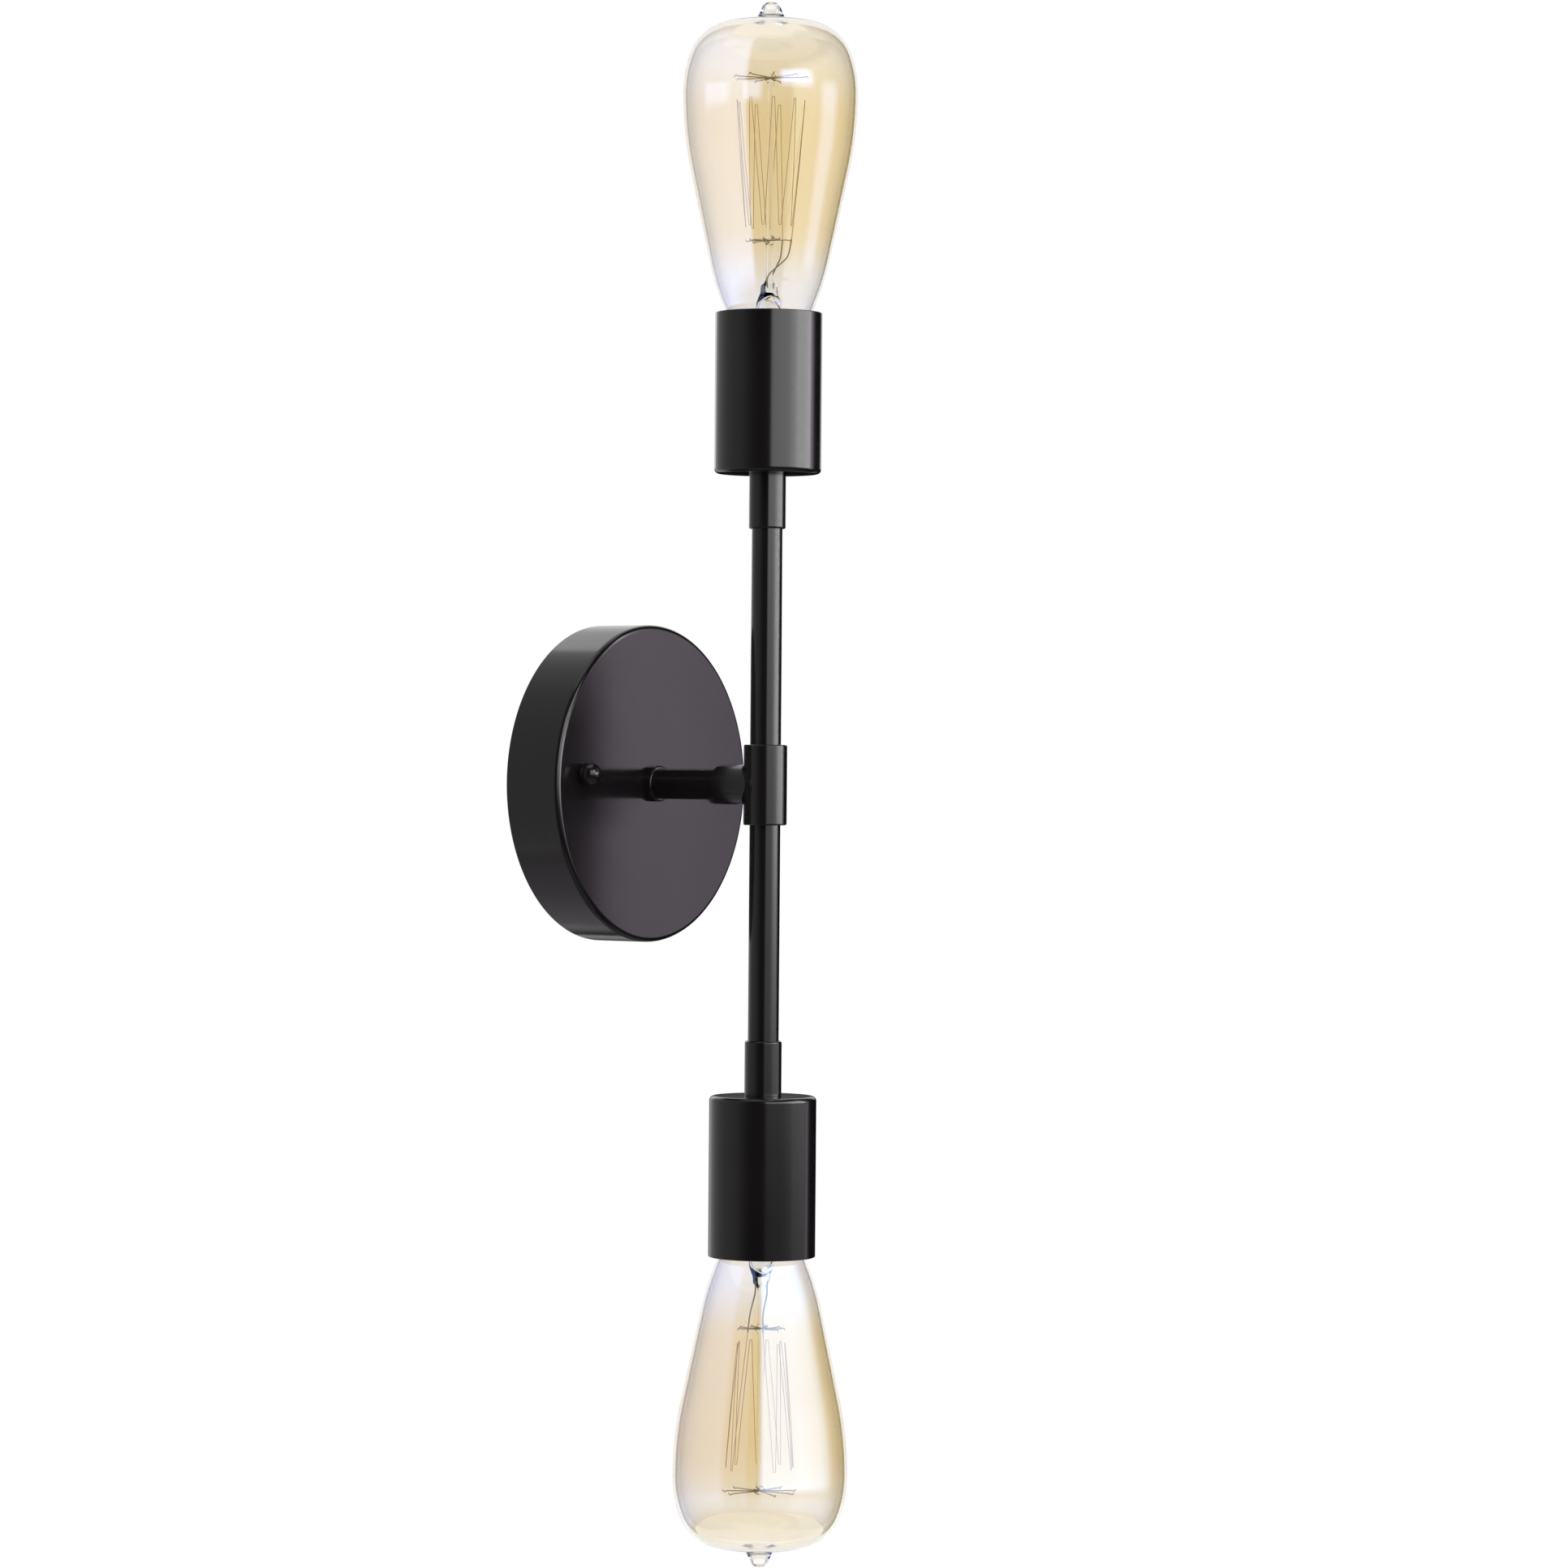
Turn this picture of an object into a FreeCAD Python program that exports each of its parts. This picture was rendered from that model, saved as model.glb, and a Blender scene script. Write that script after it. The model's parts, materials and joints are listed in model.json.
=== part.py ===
import FreeCAD, Part
import math
import os
import re
import Sketcher

# Double wall sconce. Millimetres. The wall is the plane y = 0, the room is at y < 0 and z is up.
# The origin is the middle of the mounting strap's back. The bar with the two cups stands on the
# axis x = 0, y = -bar_offset. Turned pieces are drawn as radius against height along their own axis.

Vector = FreeCAD.Vector

SIZES = {
    # canopy and what it hangs on
    "canopy_radius": "60",
    "canopy_depth": "24",
    "canopy_wall": "1",
    "canopy_edge_round": "2",
    "strap_clearance": "7",
    "strap_width": "22",
    "strap_thickness": "1.8",
    "strap_end_round": "4",
    "strap_middle_hole_radius": "6",
    "slot_end_margin": "10.8",
    "slot_length": "14.1",
    "slot_width": "4.6",
    "stud_radius": "2.08",
    "stud_end_margin": "7.55",
    "stud_rise": "3.6",
    "stud_reach": "5",
    "stud_nut_flats": "8",
    "stud_nut_thickness": "2.5",
    "cap_nut_radius": "4.3",
    "cap_nut_lift": "3.1",
    "cap_nut_hole_depth": "5.6",
    "earth_screw_radius": "1.95",
    "earth_screw_across": "16",
    "earth_screw_drop": "7.6",
    "earth_head_radius": "3.3",
    "earth_head_thickness": "1.8",
    # arm
    "bar_offset": "75.5",
    "arm_ring_radius": "6.8",
    "arm_ring_length": "3.2",
    "edge_break": "0.5",
    "lug_radius": "7.5",
    "lug_thickness": "0.8",
    "lug_tab_width": "7",
    "lug_tab_reach": "14",
    "lock_washer_radius": "7.8",
    "lock_washer_thickness": "1.2",
    "lock_washer_gap": "1.4",
    "arm_nut_flats": "14",
    "arm_nut_thickness": "3",
    "arm_nipple_inside": "1.5",
    "nipple_radius": "5",
    "nipple_bore_radius": "3.6",
    # bar
    "tube_radius": "5.75",
    "tube_bore_radius": "5.08",
    "tube_shown": "80.5",
    "tube_seat": "8",
    "tee_radius": "8.1",
    "tee_half_length": "15",
    "tee_branch_radius": "7.45",
    "tee_branch_reach": "20.5",
    "tee_bore_radius": "4.6",
    "coupler_radius": "6.9",
    "coupler_length": "20.5",
    "fit_gap": "0.05",
    "hole_gap": "0.35",
    # cup and lampholder
    "cup_radius": "20",
    "cup_length": "60",
    "cup_wall": "1.2",
    "cup_edge_round": "1.8",
    "cup_nut_flats": "14",
    "cup_nut_thickness": "3",
    "nipple_reach": "4.5",
    "holder_radius": "17",
    "holder_cap_share": "0.19",
    "holder_cap_floor": "2.5",
    "holder_cap_wall": "1.5",
    "holder_length": "31.5",
    "holder_floor": "4.5",
    "holder_mouth_radius": "15.2",
    "holder_mouth_depth": "3",
    "screw_shell_bore_radius": "13.5",
    "screw_shell_wall": "0.5",
    "screw_shell_lip": "2.6",
    "tongue_width": "5",
    "tongue_thickness": "0.5",
    "tongue_rise": "3.4",
    "tongue_foot": "9",
    "tongue_head": "3.5",
    "terminal_across": "9.5",
    "terminal_head_radius": "2.6",
    "terminal_head_thickness": "1.5",
    "terminal_shank_radius": "1.5",
    "terminal_shank_length": "3",
    # bulb, heights from the tip of its end contact
    "contact_gap": "0.1",
    "end_contact_radius": "4.7",
    "end_contact_height": "1.4",
    "insulator_top_radius": "11.6",
    "insulator_height": "4.2",
    "bulb_cap_radius": "13.05",
    "bulb_cap_wall": "0.5",
    "bulb_cap_height": "27",
    "bulb_cap_slope": "1.6",
    "neck_radius": "12.4",
    "neck_seat": "7",
    "neck_stand": "0.3",
    "knee_above_mouth": "11.8",
    "knee_radius_share": "0.411",
    "knee_round_share": "1.71",
    "widest_radius": "32.6",
    "widest_height": "118.2",
    "body_round_share": "0.6467",
    "shoulder_round_share": "1.319",
    "crown_round_share": "0.5368",
    "dome_round_share": "2.4233",
    "dome_rise_share": "0.8589",
    "glass_wall": "0.9",
    "tip_base_radius": "5.5",
    "tip_end_radius": "2.6",
    "tip_height": "6",
    "tip_blunt": "1.2",
    # inside of the bulb
    "stem_radius": "4.8",
    "stem_wall": "0.9",
    "stem_flare_height": "4.5",
    "pinch_start": "43.7",
    "pinch_height": "3.4",
    "pinch_thickness": "3",
    "rod_radius": "1.2",
    "hub_radius": "2.3",
    "hub_height": "2.6",
    "lower_hub_rise": "16.4",
    "upper_hub_drop": "22.2",
    "lower_ring_share": "0.26",
    "upper_ring_share": "0.414",
    "support_wire_radius": "0.3",
    "filament_radius": "0.15",
    "filament_hook": "1",
    # inner leads and their splices
    "lead_radius": "1.1",
    "lead_offset": "1.5",
    "lead_tee_round": "7",
    "lead_canopy_round": "5",
    "lead_terminal_round": "3.3",
    "splice_plane": "9",
    "splice_start": "13",
    "splice_to_stud": "9.4",
    "splice_mouth_radius": "5",
    "splice_end_radius": "3.8",
    "splice_bore_radius": "2.9",
    "splice_floor": "2",
    "lead_in_splice": "6",
    "earth_lead_across": "12.4",
    "earth_lead_round": "4",
}

SIDES = (("upper", 1), ("lower", -1))
CAGE_TOP_COUNT = 8
CAGE_STEP = 2 * math.pi / (CAGE_TOP_COUNT + 1)
# the glass's inner wall: rise above the widest belt and radius, the belt's foot below it and its radius
INNER_DOME_SHARES = ((1, 0), (0.93, 0.5), (0.745, 0.82), (0.354, 0.985))
INNER_BELT_SHARES = (0.15, 0.985)
HALF_TURN = 180
QUARTER_TURN = 90
HEXAGON_SIDES = 6
LEAD_SIDES = 6
WIRE_SIDES = 4

doc = FreeCAD.newDocument("double_wall_sconce")
sheet = doc.addObject("Spreadsheet::Sheet", "Sizes")
for row, (name, text) in enumerate(SIZES.items(), start=1):
    sheet.set("A%d" % row, name)
    sheet.set("B%d" % row, text)
    sheet.setAlias("B%d" % row, name)
doc.recompute()
places = doc.addObject("App::VarSet", "Places")
places.addProperty("App::PropertyFloat", "reading")
place_names = set()
kept = []


def linked(text):
    """Formula with every size and place name turned into a reference to its cell."""
    def reference(match):
        word = match.group(0)
        if word in SIZES:
            return "Sizes." + word
        if word in place_names:
            return "Places." + word
        return word
    return re.sub(r"[a-z][a-z_]*", reference, text)


def number(text):
    """Value that a formula has in this document."""
    places.setExpression("reading", linked(text))
    places.recompute()
    return places.reading


def place(name, text):
    """Height or distance worked out from the sizes, kept beside them under its own name."""
    places.addProperty("App::PropertyFloat", name)
    places.setExpression(name, linked(text))
    place_names.add(name)
    places.recompute()


# places along the bar, from the tee's middle outwards
place("coupler_start", "tee_half_length + tube_shown")
place("coupler_end", "coupler_start + coupler_length")
place("cup_floor", "coupler_end + cup_wall")
place("cup_mouth", "coupler_end + cup_length")
place("cup_nut_end", "cup_floor + cup_nut_thickness")
place("holder_start", "cup_nut_end + holder_cap_share * cup_length")
place("socket_floor", "holder_start + holder_floor")
place("holder_end", "holder_start + holder_length")
place("sleeve_end", "holder_end - holder_mouth_depth")
place("bulb_tip", "socket_floor + tongue_rise + contact_gap")
# places on the strap, inside the canopy
place("strap_length", "2 * (canopy_radius - canopy_wall - strap_clearance)")
place("slot_spacing", "strap_length - 2 * slot_end_margin - slot_length")
place("stud_across", "strap_length / 2 - stud_end_margin")
place("splice_length", "stud_across - splice_start - splice_to_stud")
# places out from the wall
place("canopy_inside", "canopy_depth - canopy_wall")
place("washer_seat", "canopy_inside - lug_thickness")
place("arm_nut_seat", "washer_seat - lock_washer_thickness")
place("arm_nut_back", "arm_nut_seat - arm_nut_thickness")
place("arm_start", "canopy_depth + arm_ring_length")
place("arm_end", "bar_offset - tee_branch_reach + tube_seat")
# the bulb's outline, from the tip of its end contact
place("neck_top", "bulb_cap_height + neck_stand")
place("knee_height", "cup_mouth - bulb_tip + knee_above_mouth")
place("knee_radius", "neck_radius + knee_radius_share * (widest_radius - neck_radius)")
place("knee_round", "knee_round_share * (knee_height - neck_top) ^ 2 / (knee_radius - neck_radius)")
place("body_rise", "widest_height - knee_height")
place("body_swell", "widest_radius - knee_radius")
place("body_round", "body_round_share * (body_rise ^ 2 + body_swell ^ 2) / (2 * body_swell)")
place("shoulder_round", "shoulder_round_share * widest_radius")
place("crown_round", "crown_round_share * widest_radius")
place("dome_round", "dome_round_share * widest_radius")
place("dome_height", "widest_height + dome_rise_share * widest_radius")
place("lower_hub_height", "pinch_start + pinch_height + lower_hub_rise")
place("upper_hub_height", "dome_height - upper_hub_drop")
place("lower_ring_radius", "lower_ring_share * widest_radius")
place("upper_ring_radius", "upper_ring_share * widest_radius")
# radii that follow a fit
place("fitted_nipple_hole", "nipple_radius + fit_gap")
place("fitted_tube_hole", "tube_radius + fit_gap")
place("fitted_stud_hole", "stud_radius + fit_gap")
place("screw_shell_radius", "screw_shell_bore_radius + screw_shell_wall")


def new_body(label):
    """Empty body with its node name."""
    body = doc.addObject("PartDesign::Body", label)
    body.Label = label
    return body


def new_sketch(body, name, role="XZ_Plane"):
    """Sketch on one of the body's own origin planes."""
    sketch = body.newObject("Sketcher::SketchObject", name)
    flat = [feature for feature in body.Origin.OriginFeatures if feature.Role == role][0]
    sketch.AttachmentSupport = [(flat, "")]
    sketch.MapMode = "FlatFace"
    return sketch


def fix_point(sketch, edge, end, across, along):
    """Ties one point of a sketch to two formulas, measured from the sketch's origin."""
    for kind, text in (("DistanceX", across), ("DistanceY", along)):
        value = number(text)
        index = sketch.addConstraint(Sketcher.Constraint(kind, -1, 1, edge, end, value))
        sketch.setExpression("Constraints[%d]" % index, linked(text))


def add_lines(sketch, corners):
    """Closed outline of straight edges through the corners, each a pair of formulas."""
    points = [Vector(number(across), number(along), 0) for across, along in corners]
    first = sketch.GeometryCount
    count = len(points)
    for index in range(count):
        sketch.addGeometry(Part.LineSegment(points[index], points[(index + 1) % count]))
    for index in range(count):
        follower = first + (index + 1) % count
        sketch.addConstraint(Sketcher.Constraint("Coincident", first + index, 2, follower, 1))
    for index, (across, along) in enumerate(corners):
        fix_point(sketch, first + index, 1, across, along)


def add_circle(sketch, across, along, radius):
    """Circle whose middle and radius are formulas."""
    middle = Vector(number(across), number(along), 0)
    edge = sketch.addGeometry(Part.Circle(middle, Vector(0, 0, 1), number(radius)))
    fix_point(sketch, edge, 3, across, along)
    index = sketch.addConstraint(Sketcher.Constraint("Radius", edge, number(radius)))
    sketch.setExpression("Constraints[%d]" % index, linked(radius))


def revolve(body, sketch, name, kind="PartDesign::Revolution"):
    """Full turn of a sketch about its upright axis."""
    feature = body.newObject(kind, name)
    feature.Profile = sketch
    feature.ReferenceAxis = (sketch, ["V_Axis"])
    feature.Angle = 2 * HALF_TURN
    body.Tip = feature
    return feature


def pad(body, sketch, name, length, midplane=False, reverse=False):
    """Pad of a sketch by a formula."""
    feature = body.newObject("PartDesign::Pad", name)
    feature.Profile = sketch
    feature.setExpression("Length", linked(length))
    feature.Midplane = midplane
    feature.Reversed = reverse
    body.Tip = feature
    return feature


def pocket(body, sketch, name, length, reverse=False):
    """Pocket of a sketch by a formula, checked to take something away."""
    doc.recompute()
    before = body.Shape.Volume
    feature = body.newObject("PartDesign::Pocket", name)
    feature.Profile = sketch
    feature.setExpression("Length", linked(length))
    feature.Reversed = reverse
    body.Tip = feature
    doc.recompute()
    if body.Shape.Volume >= before:
        raise ValueError("%s of %s cuts nothing" % (name, body.Label))
    return feature


def turned(label, corners):
    """Piece turned from one outline of radius against height."""
    body = new_body(label)
    sketch = new_sketch(body, "outline_of_" + label)
    add_lines(sketch, corners)
    revolve(body, sketch, "turning_of_" + label)
    return body


def pipe_corners(bore, radius, start, end):
    """Outline of a plain sleeve."""
    return [(bore, start), (radius, start), (radius, end), (bore, end)]


def round_edge(body, name, radius, height, size):
    """Rounds the circular edge that lies at a radius and a height of the body's own frame."""
    doc.recompute()
    base = body.Tip
    target_radius = number(radius)
    target_height = number(height)
    close = number("fit_gap")
    chosen = []
    for index, edge in enumerate(base.Shape.Edges, start=1):
        if not isinstance(edge.Curve, Part.Circle):
            continue
        middle = edge.Curve.Center
        if abs(edge.Curve.Radius - target_radius) < close and abs(middle.z - target_height) < close:
            chosen.append("Edge%d" % index)
    feature = body.newObject("PartDesign::Fillet", name)
    feature.Base = (base, chosen)
    feature.setExpression("Radius", linked(size))
    body.Tip = feature
    return feature


def put_on_wall(piece, across="0", rise="0"):
    """Stands a piece out from the wall: its height runs towards the room."""
    piece.Placement.Rotation = FreeCAD.Rotation(Vector(1, 0, 0), QUARTER_TURN)
    piece.setExpression("Placement.Base.x", linked(across))
    piece.setExpression("Placement.Base.z", linked(rise))


def put_on_bar(piece, side, lift="0"):
    """Stands a piece on the bar: its height runs up for side 1 and down for side -1."""
    if side < 0:
        piece.Placement.Rotation = FreeCAD.Rotation(Vector(0, 1, 0), HALF_TURN)
    piece.setExpression("Placement.Base.y", linked("-bar_offset"))
    piece.setExpression("Placement.Base.z", linked("%d * (%s)" % (side, lift)))


def keep(piece, label=None):
    """Puts a piece on the list of nodes to write."""
    if label:
        piece.Label = label
    kept.append(piece)
    return piece


def keep_group(label, members):
    """One node that holds several separate solids."""
    group = doc.addObject("Part::Compound", label)
    group.Links = members
    return keep(group, label)


def hexagon_nut(label, flats, thickness, bore):
    """Hexagon nut that stands on its own base."""
    prism = doc.addObject("Part::Prism", label + "_hexagon")
    prism.Polygon = HEXAGON_SIDES
    prism.setExpression("Circumradius", linked("%s / 2 / cos(%d)" % (flats, HALF_TURN / HEXAGON_SIDES)))
    prism.setExpression("Height", linked(thickness))
    hole = doc.addObject("Part::Cylinder", label + "_hole")
    hole.setExpression("Radius", linked(bore))
    hole.setExpression("Height", linked(thickness))
    nut = doc.addObject("Part::Cut", label)
    nut.Base = prism
    nut.Tool = hole
    nut.Label = label
    return nut


def rounded_path(points, rounds):
    """Wire of straight runs through the points, with a tangent arc of the given radius at each turn."""
    edges = []
    start = points[0]
    for index, radius in enumerate(rounds, start=1):
        corner = points[index]
        back = (points[index - 1] - corner).normalize()
        ahead = (points[index + 1] - corner).normalize()
        half_angle = back.getAngle(ahead) / 2
        trim = radius / math.tan(half_angle)
        arc_start = corner + back * trim
        arc_end = corner + ahead * trim
        middle_way = (back + ahead).normalize()
        nearest = radius / math.sin(half_angle) - radius
        arc_middle = corner + middle_way * nearest
        edges.append(Part.LineSegment(start, arc_start).toShape())
        edges.append(Part.Arc(arc_start, arc_middle, arc_end).toShape())
        start = arc_end
    edges.append(Part.LineSegment(start, points[-1]).toShape())
    return Part.Wire(edges)


def ring_section(middle, direction, radius, sides):
    """Closed regular outline square to a direction."""
    turn = FreeCAD.Rotation(Vector(0, 0, 1), direction)
    step = 2 * math.pi / sides
    rim = []
    for index in range(sides + 1):
        angle = step * (index % sides)
        rim.append(middle + turn.multVec(Vector(math.cos(angle), math.sin(angle), 0) * radius))
    return Part.makePolygon(rim)


def lead_solid(points, rounds, radius):
    """Insulated lead along runs and arcs, with a flat-sided section as wide as the real one."""
    path = rounded_path(points, rounds)
    section = ring_section(points[0], points[1] - points[0], radius, LEAD_SIDES)
    solid = path.makePipeShell([section], True, False)
    expected = LEAD_SIDES / 2 * math.sin(2 * math.pi / LEAD_SIDES) * radius ** 2 * path.Length
    print("lead of %.1f mm, volume against section times length %.4f"
          % (path.Length, abs(solid.Volume) / expected))
    return solid


def straight_wire(start, end, radius):
    """Thin wire from one point to another."""
    section = Part.Face(ring_section(start, end - start, radius, WIRE_SIDES))
    return section.extrude(end - start)


def bent_wire(points, radius):
    """Thin wire through the points, mitred at each bend: every face follows one run between two mitres."""
    runs = [(last - first).normalize() for first, last in zip(points[:-1], points[1:])]
    ring = ring_section(points[0], runs[0], radius, WIRE_SIDES)
    rims = [[vertex.Point for vertex in ring.Vertexes][:WIRE_SIDES]]
    for index, run in enumerate(runs):
        target = points[index + 1]
        square = run if index + 1 == len(runs) else (run + runs[index + 1]).normalize()
        rims.append([
            corner + run * ((target - corner).dot(square) / run.dot(square)) for corner in rims[-1]
        ])
    faces = [Part.Face(Part.makePolygon(rim + [rim[0]])) for rim in (rims[0], rims[-1])]
    for near, far in zip(rims[:-1], rims[1:]):
        for index in range(WIRE_SIDES):
            after = (index + 1) % WIRE_SIDES
            loop = [near[index], near[after], far[after], far[index], near[index]]
            faces.append(Part.Face(Part.makePolygon(loop)))
    solid = Part.makeSolid(Part.makeShell(faces))
    if solid.Volume < 0:
        solid.reverse()
    return solid


def shaped(label, shape):
    """Document object for a shape made by formula."""
    feature = doc.addObject("Part::Feature", label)
    feature.Shape = shape
    feature.Label = label
    return feature


def make_canopy():
    """Drawn cup with a hole for the arm nipple and one for each stud."""
    body = turned("canopy", [
        ("fitted_nipple_hole", "canopy_inside"),
        ("canopy_radius - canopy_wall", "canopy_inside"),
        ("canopy_radius - canopy_wall", "0"),
        ("canopy_radius", "0"),
        ("canopy_radius", "canopy_depth"),
        ("fitted_nipple_hole", "canopy_depth"),
    ])
    round_edge(body, "canopy_edge", "canopy_radius", "canopy_depth", "canopy_edge_round")
    holes = new_sketch(body, "canopy_stud_holes", "XY_Plane")
    for side in (1, -1):
        add_circle(holes, "%d * stud_across" % -side, "%d * stud_rise" % side, "stud_radius + hole_gap")
    pocket(body, holes, "canopy_stud_hole_cuts", "canopy_depth + canopy_wall", True)
    put_on_wall(body)
    keep(body)


def make_strap():
    """Flat crossbar with two slots, a middle hole, two stud holes and an earth screw hole."""
    body = new_body("mounting_strap")
    blank = new_sketch(body, "strap_blank", "XY_Plane")
    half = "strap_length / 2"
    edge = "strap_width / 2"
    cut = "strap_end_round"
    add_lines(blank, [
        ("-(%s)" % half, "-(%s) + %s" % (edge, cut)),
        ("-(%s) + %s" % (half, cut), "-(%s)" % edge),
        ("%s - %s" % (half, cut), "-(%s)" % edge),
        (half, "-(%s) + %s" % (edge, cut)),
        (half, "%s - %s" % (edge, cut)),
        ("%s - %s" % (half, cut), edge),
        ("-(%s) + %s" % (half, cut), edge),
        ("-(%s)" % half, "%s - %s" % (edge, cut)),
    ])
    pad(body, blank, "strap_plate", "strap_thickness")
    holes = new_sketch(body, "strap_holes", "XY_Plane")
    add_circle(holes, "0", "0", "strap_middle_hole_radius")
    for side in (1, -1):
        add_circle(holes, "%d * stud_across" % -side, "%d * stud_rise" % side, "fitted_stud_hole")
    add_circle(holes, "earth_screw_across", "-earth_screw_drop", "earth_screw_radius + fit_gap")
    pocket(body, holes, "strap_hole_cuts", "strap_thickness", True)
    slots = new_sketch(body, "strap_slots", "XY_Plane")
    for side in (1, -1):
        add_slot(slots, side)
    pocket(body, slots, "strap_slot_cuts", "strap_thickness", True)
    put_on_wall(body)
    keep(body)


def add_slot(sketch, side):
    """Round-ended slot along X, centred on its nominal screw place."""
    middle = "%d * slot_spacing / 2" % side
    reach = "(slot_length - slot_width) / 2"
    radius = number("slot_width / 2")
    left = Vector(number("%s - %s" % (middle, reach)), 0, 0)
    right = Vector(number("%s + %s" % (middle, reach)), 0, 0)
    up = Vector(0, radius, 0)
    axis = Vector(0, 0, 1)
    top = sketch.addGeometry(Part.LineSegment(right + up, left + up))
    quarter = math.pi / 2
    near = sketch.addGeometry(Part.ArcOfCircle(Part.Circle(left, axis, radius), quarter, 3 * quarter))
    bottom = sketch.addGeometry(Part.LineSegment(left - up, right - up))
    far = sketch.addGeometry(Part.ArcOfCircle(Part.Circle(right, axis, radius), -quarter, quarter))
    sketch.addConstraint(Sketcher.Constraint("Tangent", top, 2, near, 1))
    sketch.addConstraint(Sketcher.Constraint("Tangent", near, 2, bottom, 1))
    sketch.addConstraint(Sketcher.Constraint("Tangent", bottom, 2, far, 1))
    sketch.addConstraint(Sketcher.Constraint("Tangent", far, 2, top, 1))
    fix_point(sketch, near, 3, "%s - %s" % (middle, reach), "0")
    fix_point(sketch, far, 3, "%s + %s" % (middle, reach), "0")
    index = sketch.addConstraint(Sketcher.Constraint("Radius", near, radius))
    sketch.setExpression("Constraints[%d]" % index, linked("slot_width / 2"))


def make_studs():
    """Two threaded studs through the strap, their locknuts and the ball-shaped cap nuts."""
    studs = []
    stud_nuts = []
    cap_nuts = []
    for name, side in (("left", -1), ("right", 1)):
        across = "%d * stud_across" % side
        rise = "%d * stud_rise" % -side
        stud = doc.addObject("Part::Cylinder", name + "_stud")
        stud.setExpression("Radius", linked("stud_radius"))
        stud.setExpression("Height", linked("canopy_depth + stud_reach"))
        put_on_wall(stud, across, rise)
        studs.append(stud)
        nut = hexagon_nut(name + "_stud_nut", "stud_nut_flats", "stud_nut_thickness", "fitted_stud_hole")
        put_on_wall(nut, across, rise)
        nut.setExpression("Placement.Base.y", linked("-strap_thickness"))
        stud_nuts.append(nut)
        cap_nuts.append(make_cap_nut(name, across, rise))
    keep_group("canopy_studs", studs)
    keep_group("stud_locknuts", stud_nuts)
    keep_group("cap_nuts", cap_nuts)


def make_cap_nut(name, across, rise):
    """Ball with a flat seat and a blind hole for the stud."""
    ball = doc.addObject("Part::Sphere", name + "_cap_nut_ball")
    ball.setExpression("Radius", linked("cap_nut_radius"))
    ball.setExpression("Angle1", linked("-asin(cap_nut_lift / cap_nut_radius)"))
    ball.setExpression("Placement.Base.z", linked("cap_nut_lift"))
    hole = doc.addObject("Part::Cylinder", name + "_cap_nut_hole")
    hole.setExpression("Radius", linked("fitted_stud_hole"))
    hole.setExpression("Height", linked("cap_nut_hole_depth"))
    nut = doc.addObject("Part::Cut", name + "_cap_nut")
    nut.Base = ball
    nut.Tool = hole
    put_on_wall(nut, across, rise)
    nut.setExpression("Placement.Base.y", linked("-canopy_depth"))
    return nut


def make_earth():
    """Earth screw in the strap, the lug under the arm's locknut and the lead between them."""
    head_seat = "strap_thickness + 2 * lead_radius + fit_gap"
    screw = turned("earth_screw", [
        ("0", "0"),
        ("earth_screw_radius", "0"),
        ("earth_screw_radius", head_seat),
        ("earth_head_radius", head_seat),
        ("earth_head_radius", head_seat + " + earth_head_thickness"),
        ("0", head_seat + " + earth_head_thickness"),
    ])
    put_on_wall(screw, "earth_screw_across", "-earth_screw_drop")
    keep(screw)
    lug = new_body("earth_lug")
    ring = new_sketch(lug, "lug_ring", "XY_Plane")
    add_circle(ring, "0", "0", "lug_radius")
    pad(lug, ring, "lug_plate", "lug_thickness")
    tab = new_sketch(lug, "lug_tab", "XY_Plane")
    half = "lug_tab_width / 2"
    add_lines(tab, [
        ("-(%s)" % half, "-lug_tab_reach"),
        (half, "-lug_tab_reach"),
        (half, "0"),
        ("-(%s)" % half, "0"),
    ])
    pad(lug, tab, "lug_tab_plate", "lug_thickness")
    hole = new_sketch(lug, "lug_hole", "XY_Plane")
    add_circle(hole, "0", "0", "fitted_nipple_hole")
    pocket(lug, hole, "lug_hole_cut", "lug_thickness", True)
    put_on_wall(lug)
    lug.setExpression("Placement.Base.y", linked("-washer_seat"))
    keep(lug)
    on_lug = -number("washer_seat - lead_radius - fit_gap")
    on_strap = -number("strap_thickness + lead_radius + fit_gap / 2")
    drop = -number("lug_tab_reach - lead_radius - fit_gap")
    across = number("earth_lead_across")
    points = [
        Vector(-number("lug_tab_width / 2"), on_lug, drop),
        Vector(across, on_lug, drop),
        Vector(across, on_strap, drop),
        Vector(across, on_strap, -number("earth_screw_drop - lead_radius")),
    ]
    bend = number("earth_lead_round")
    keep(shaped("earth_lead", lead_solid(points, [bend, bend], number("lead_radius"))))


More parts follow.
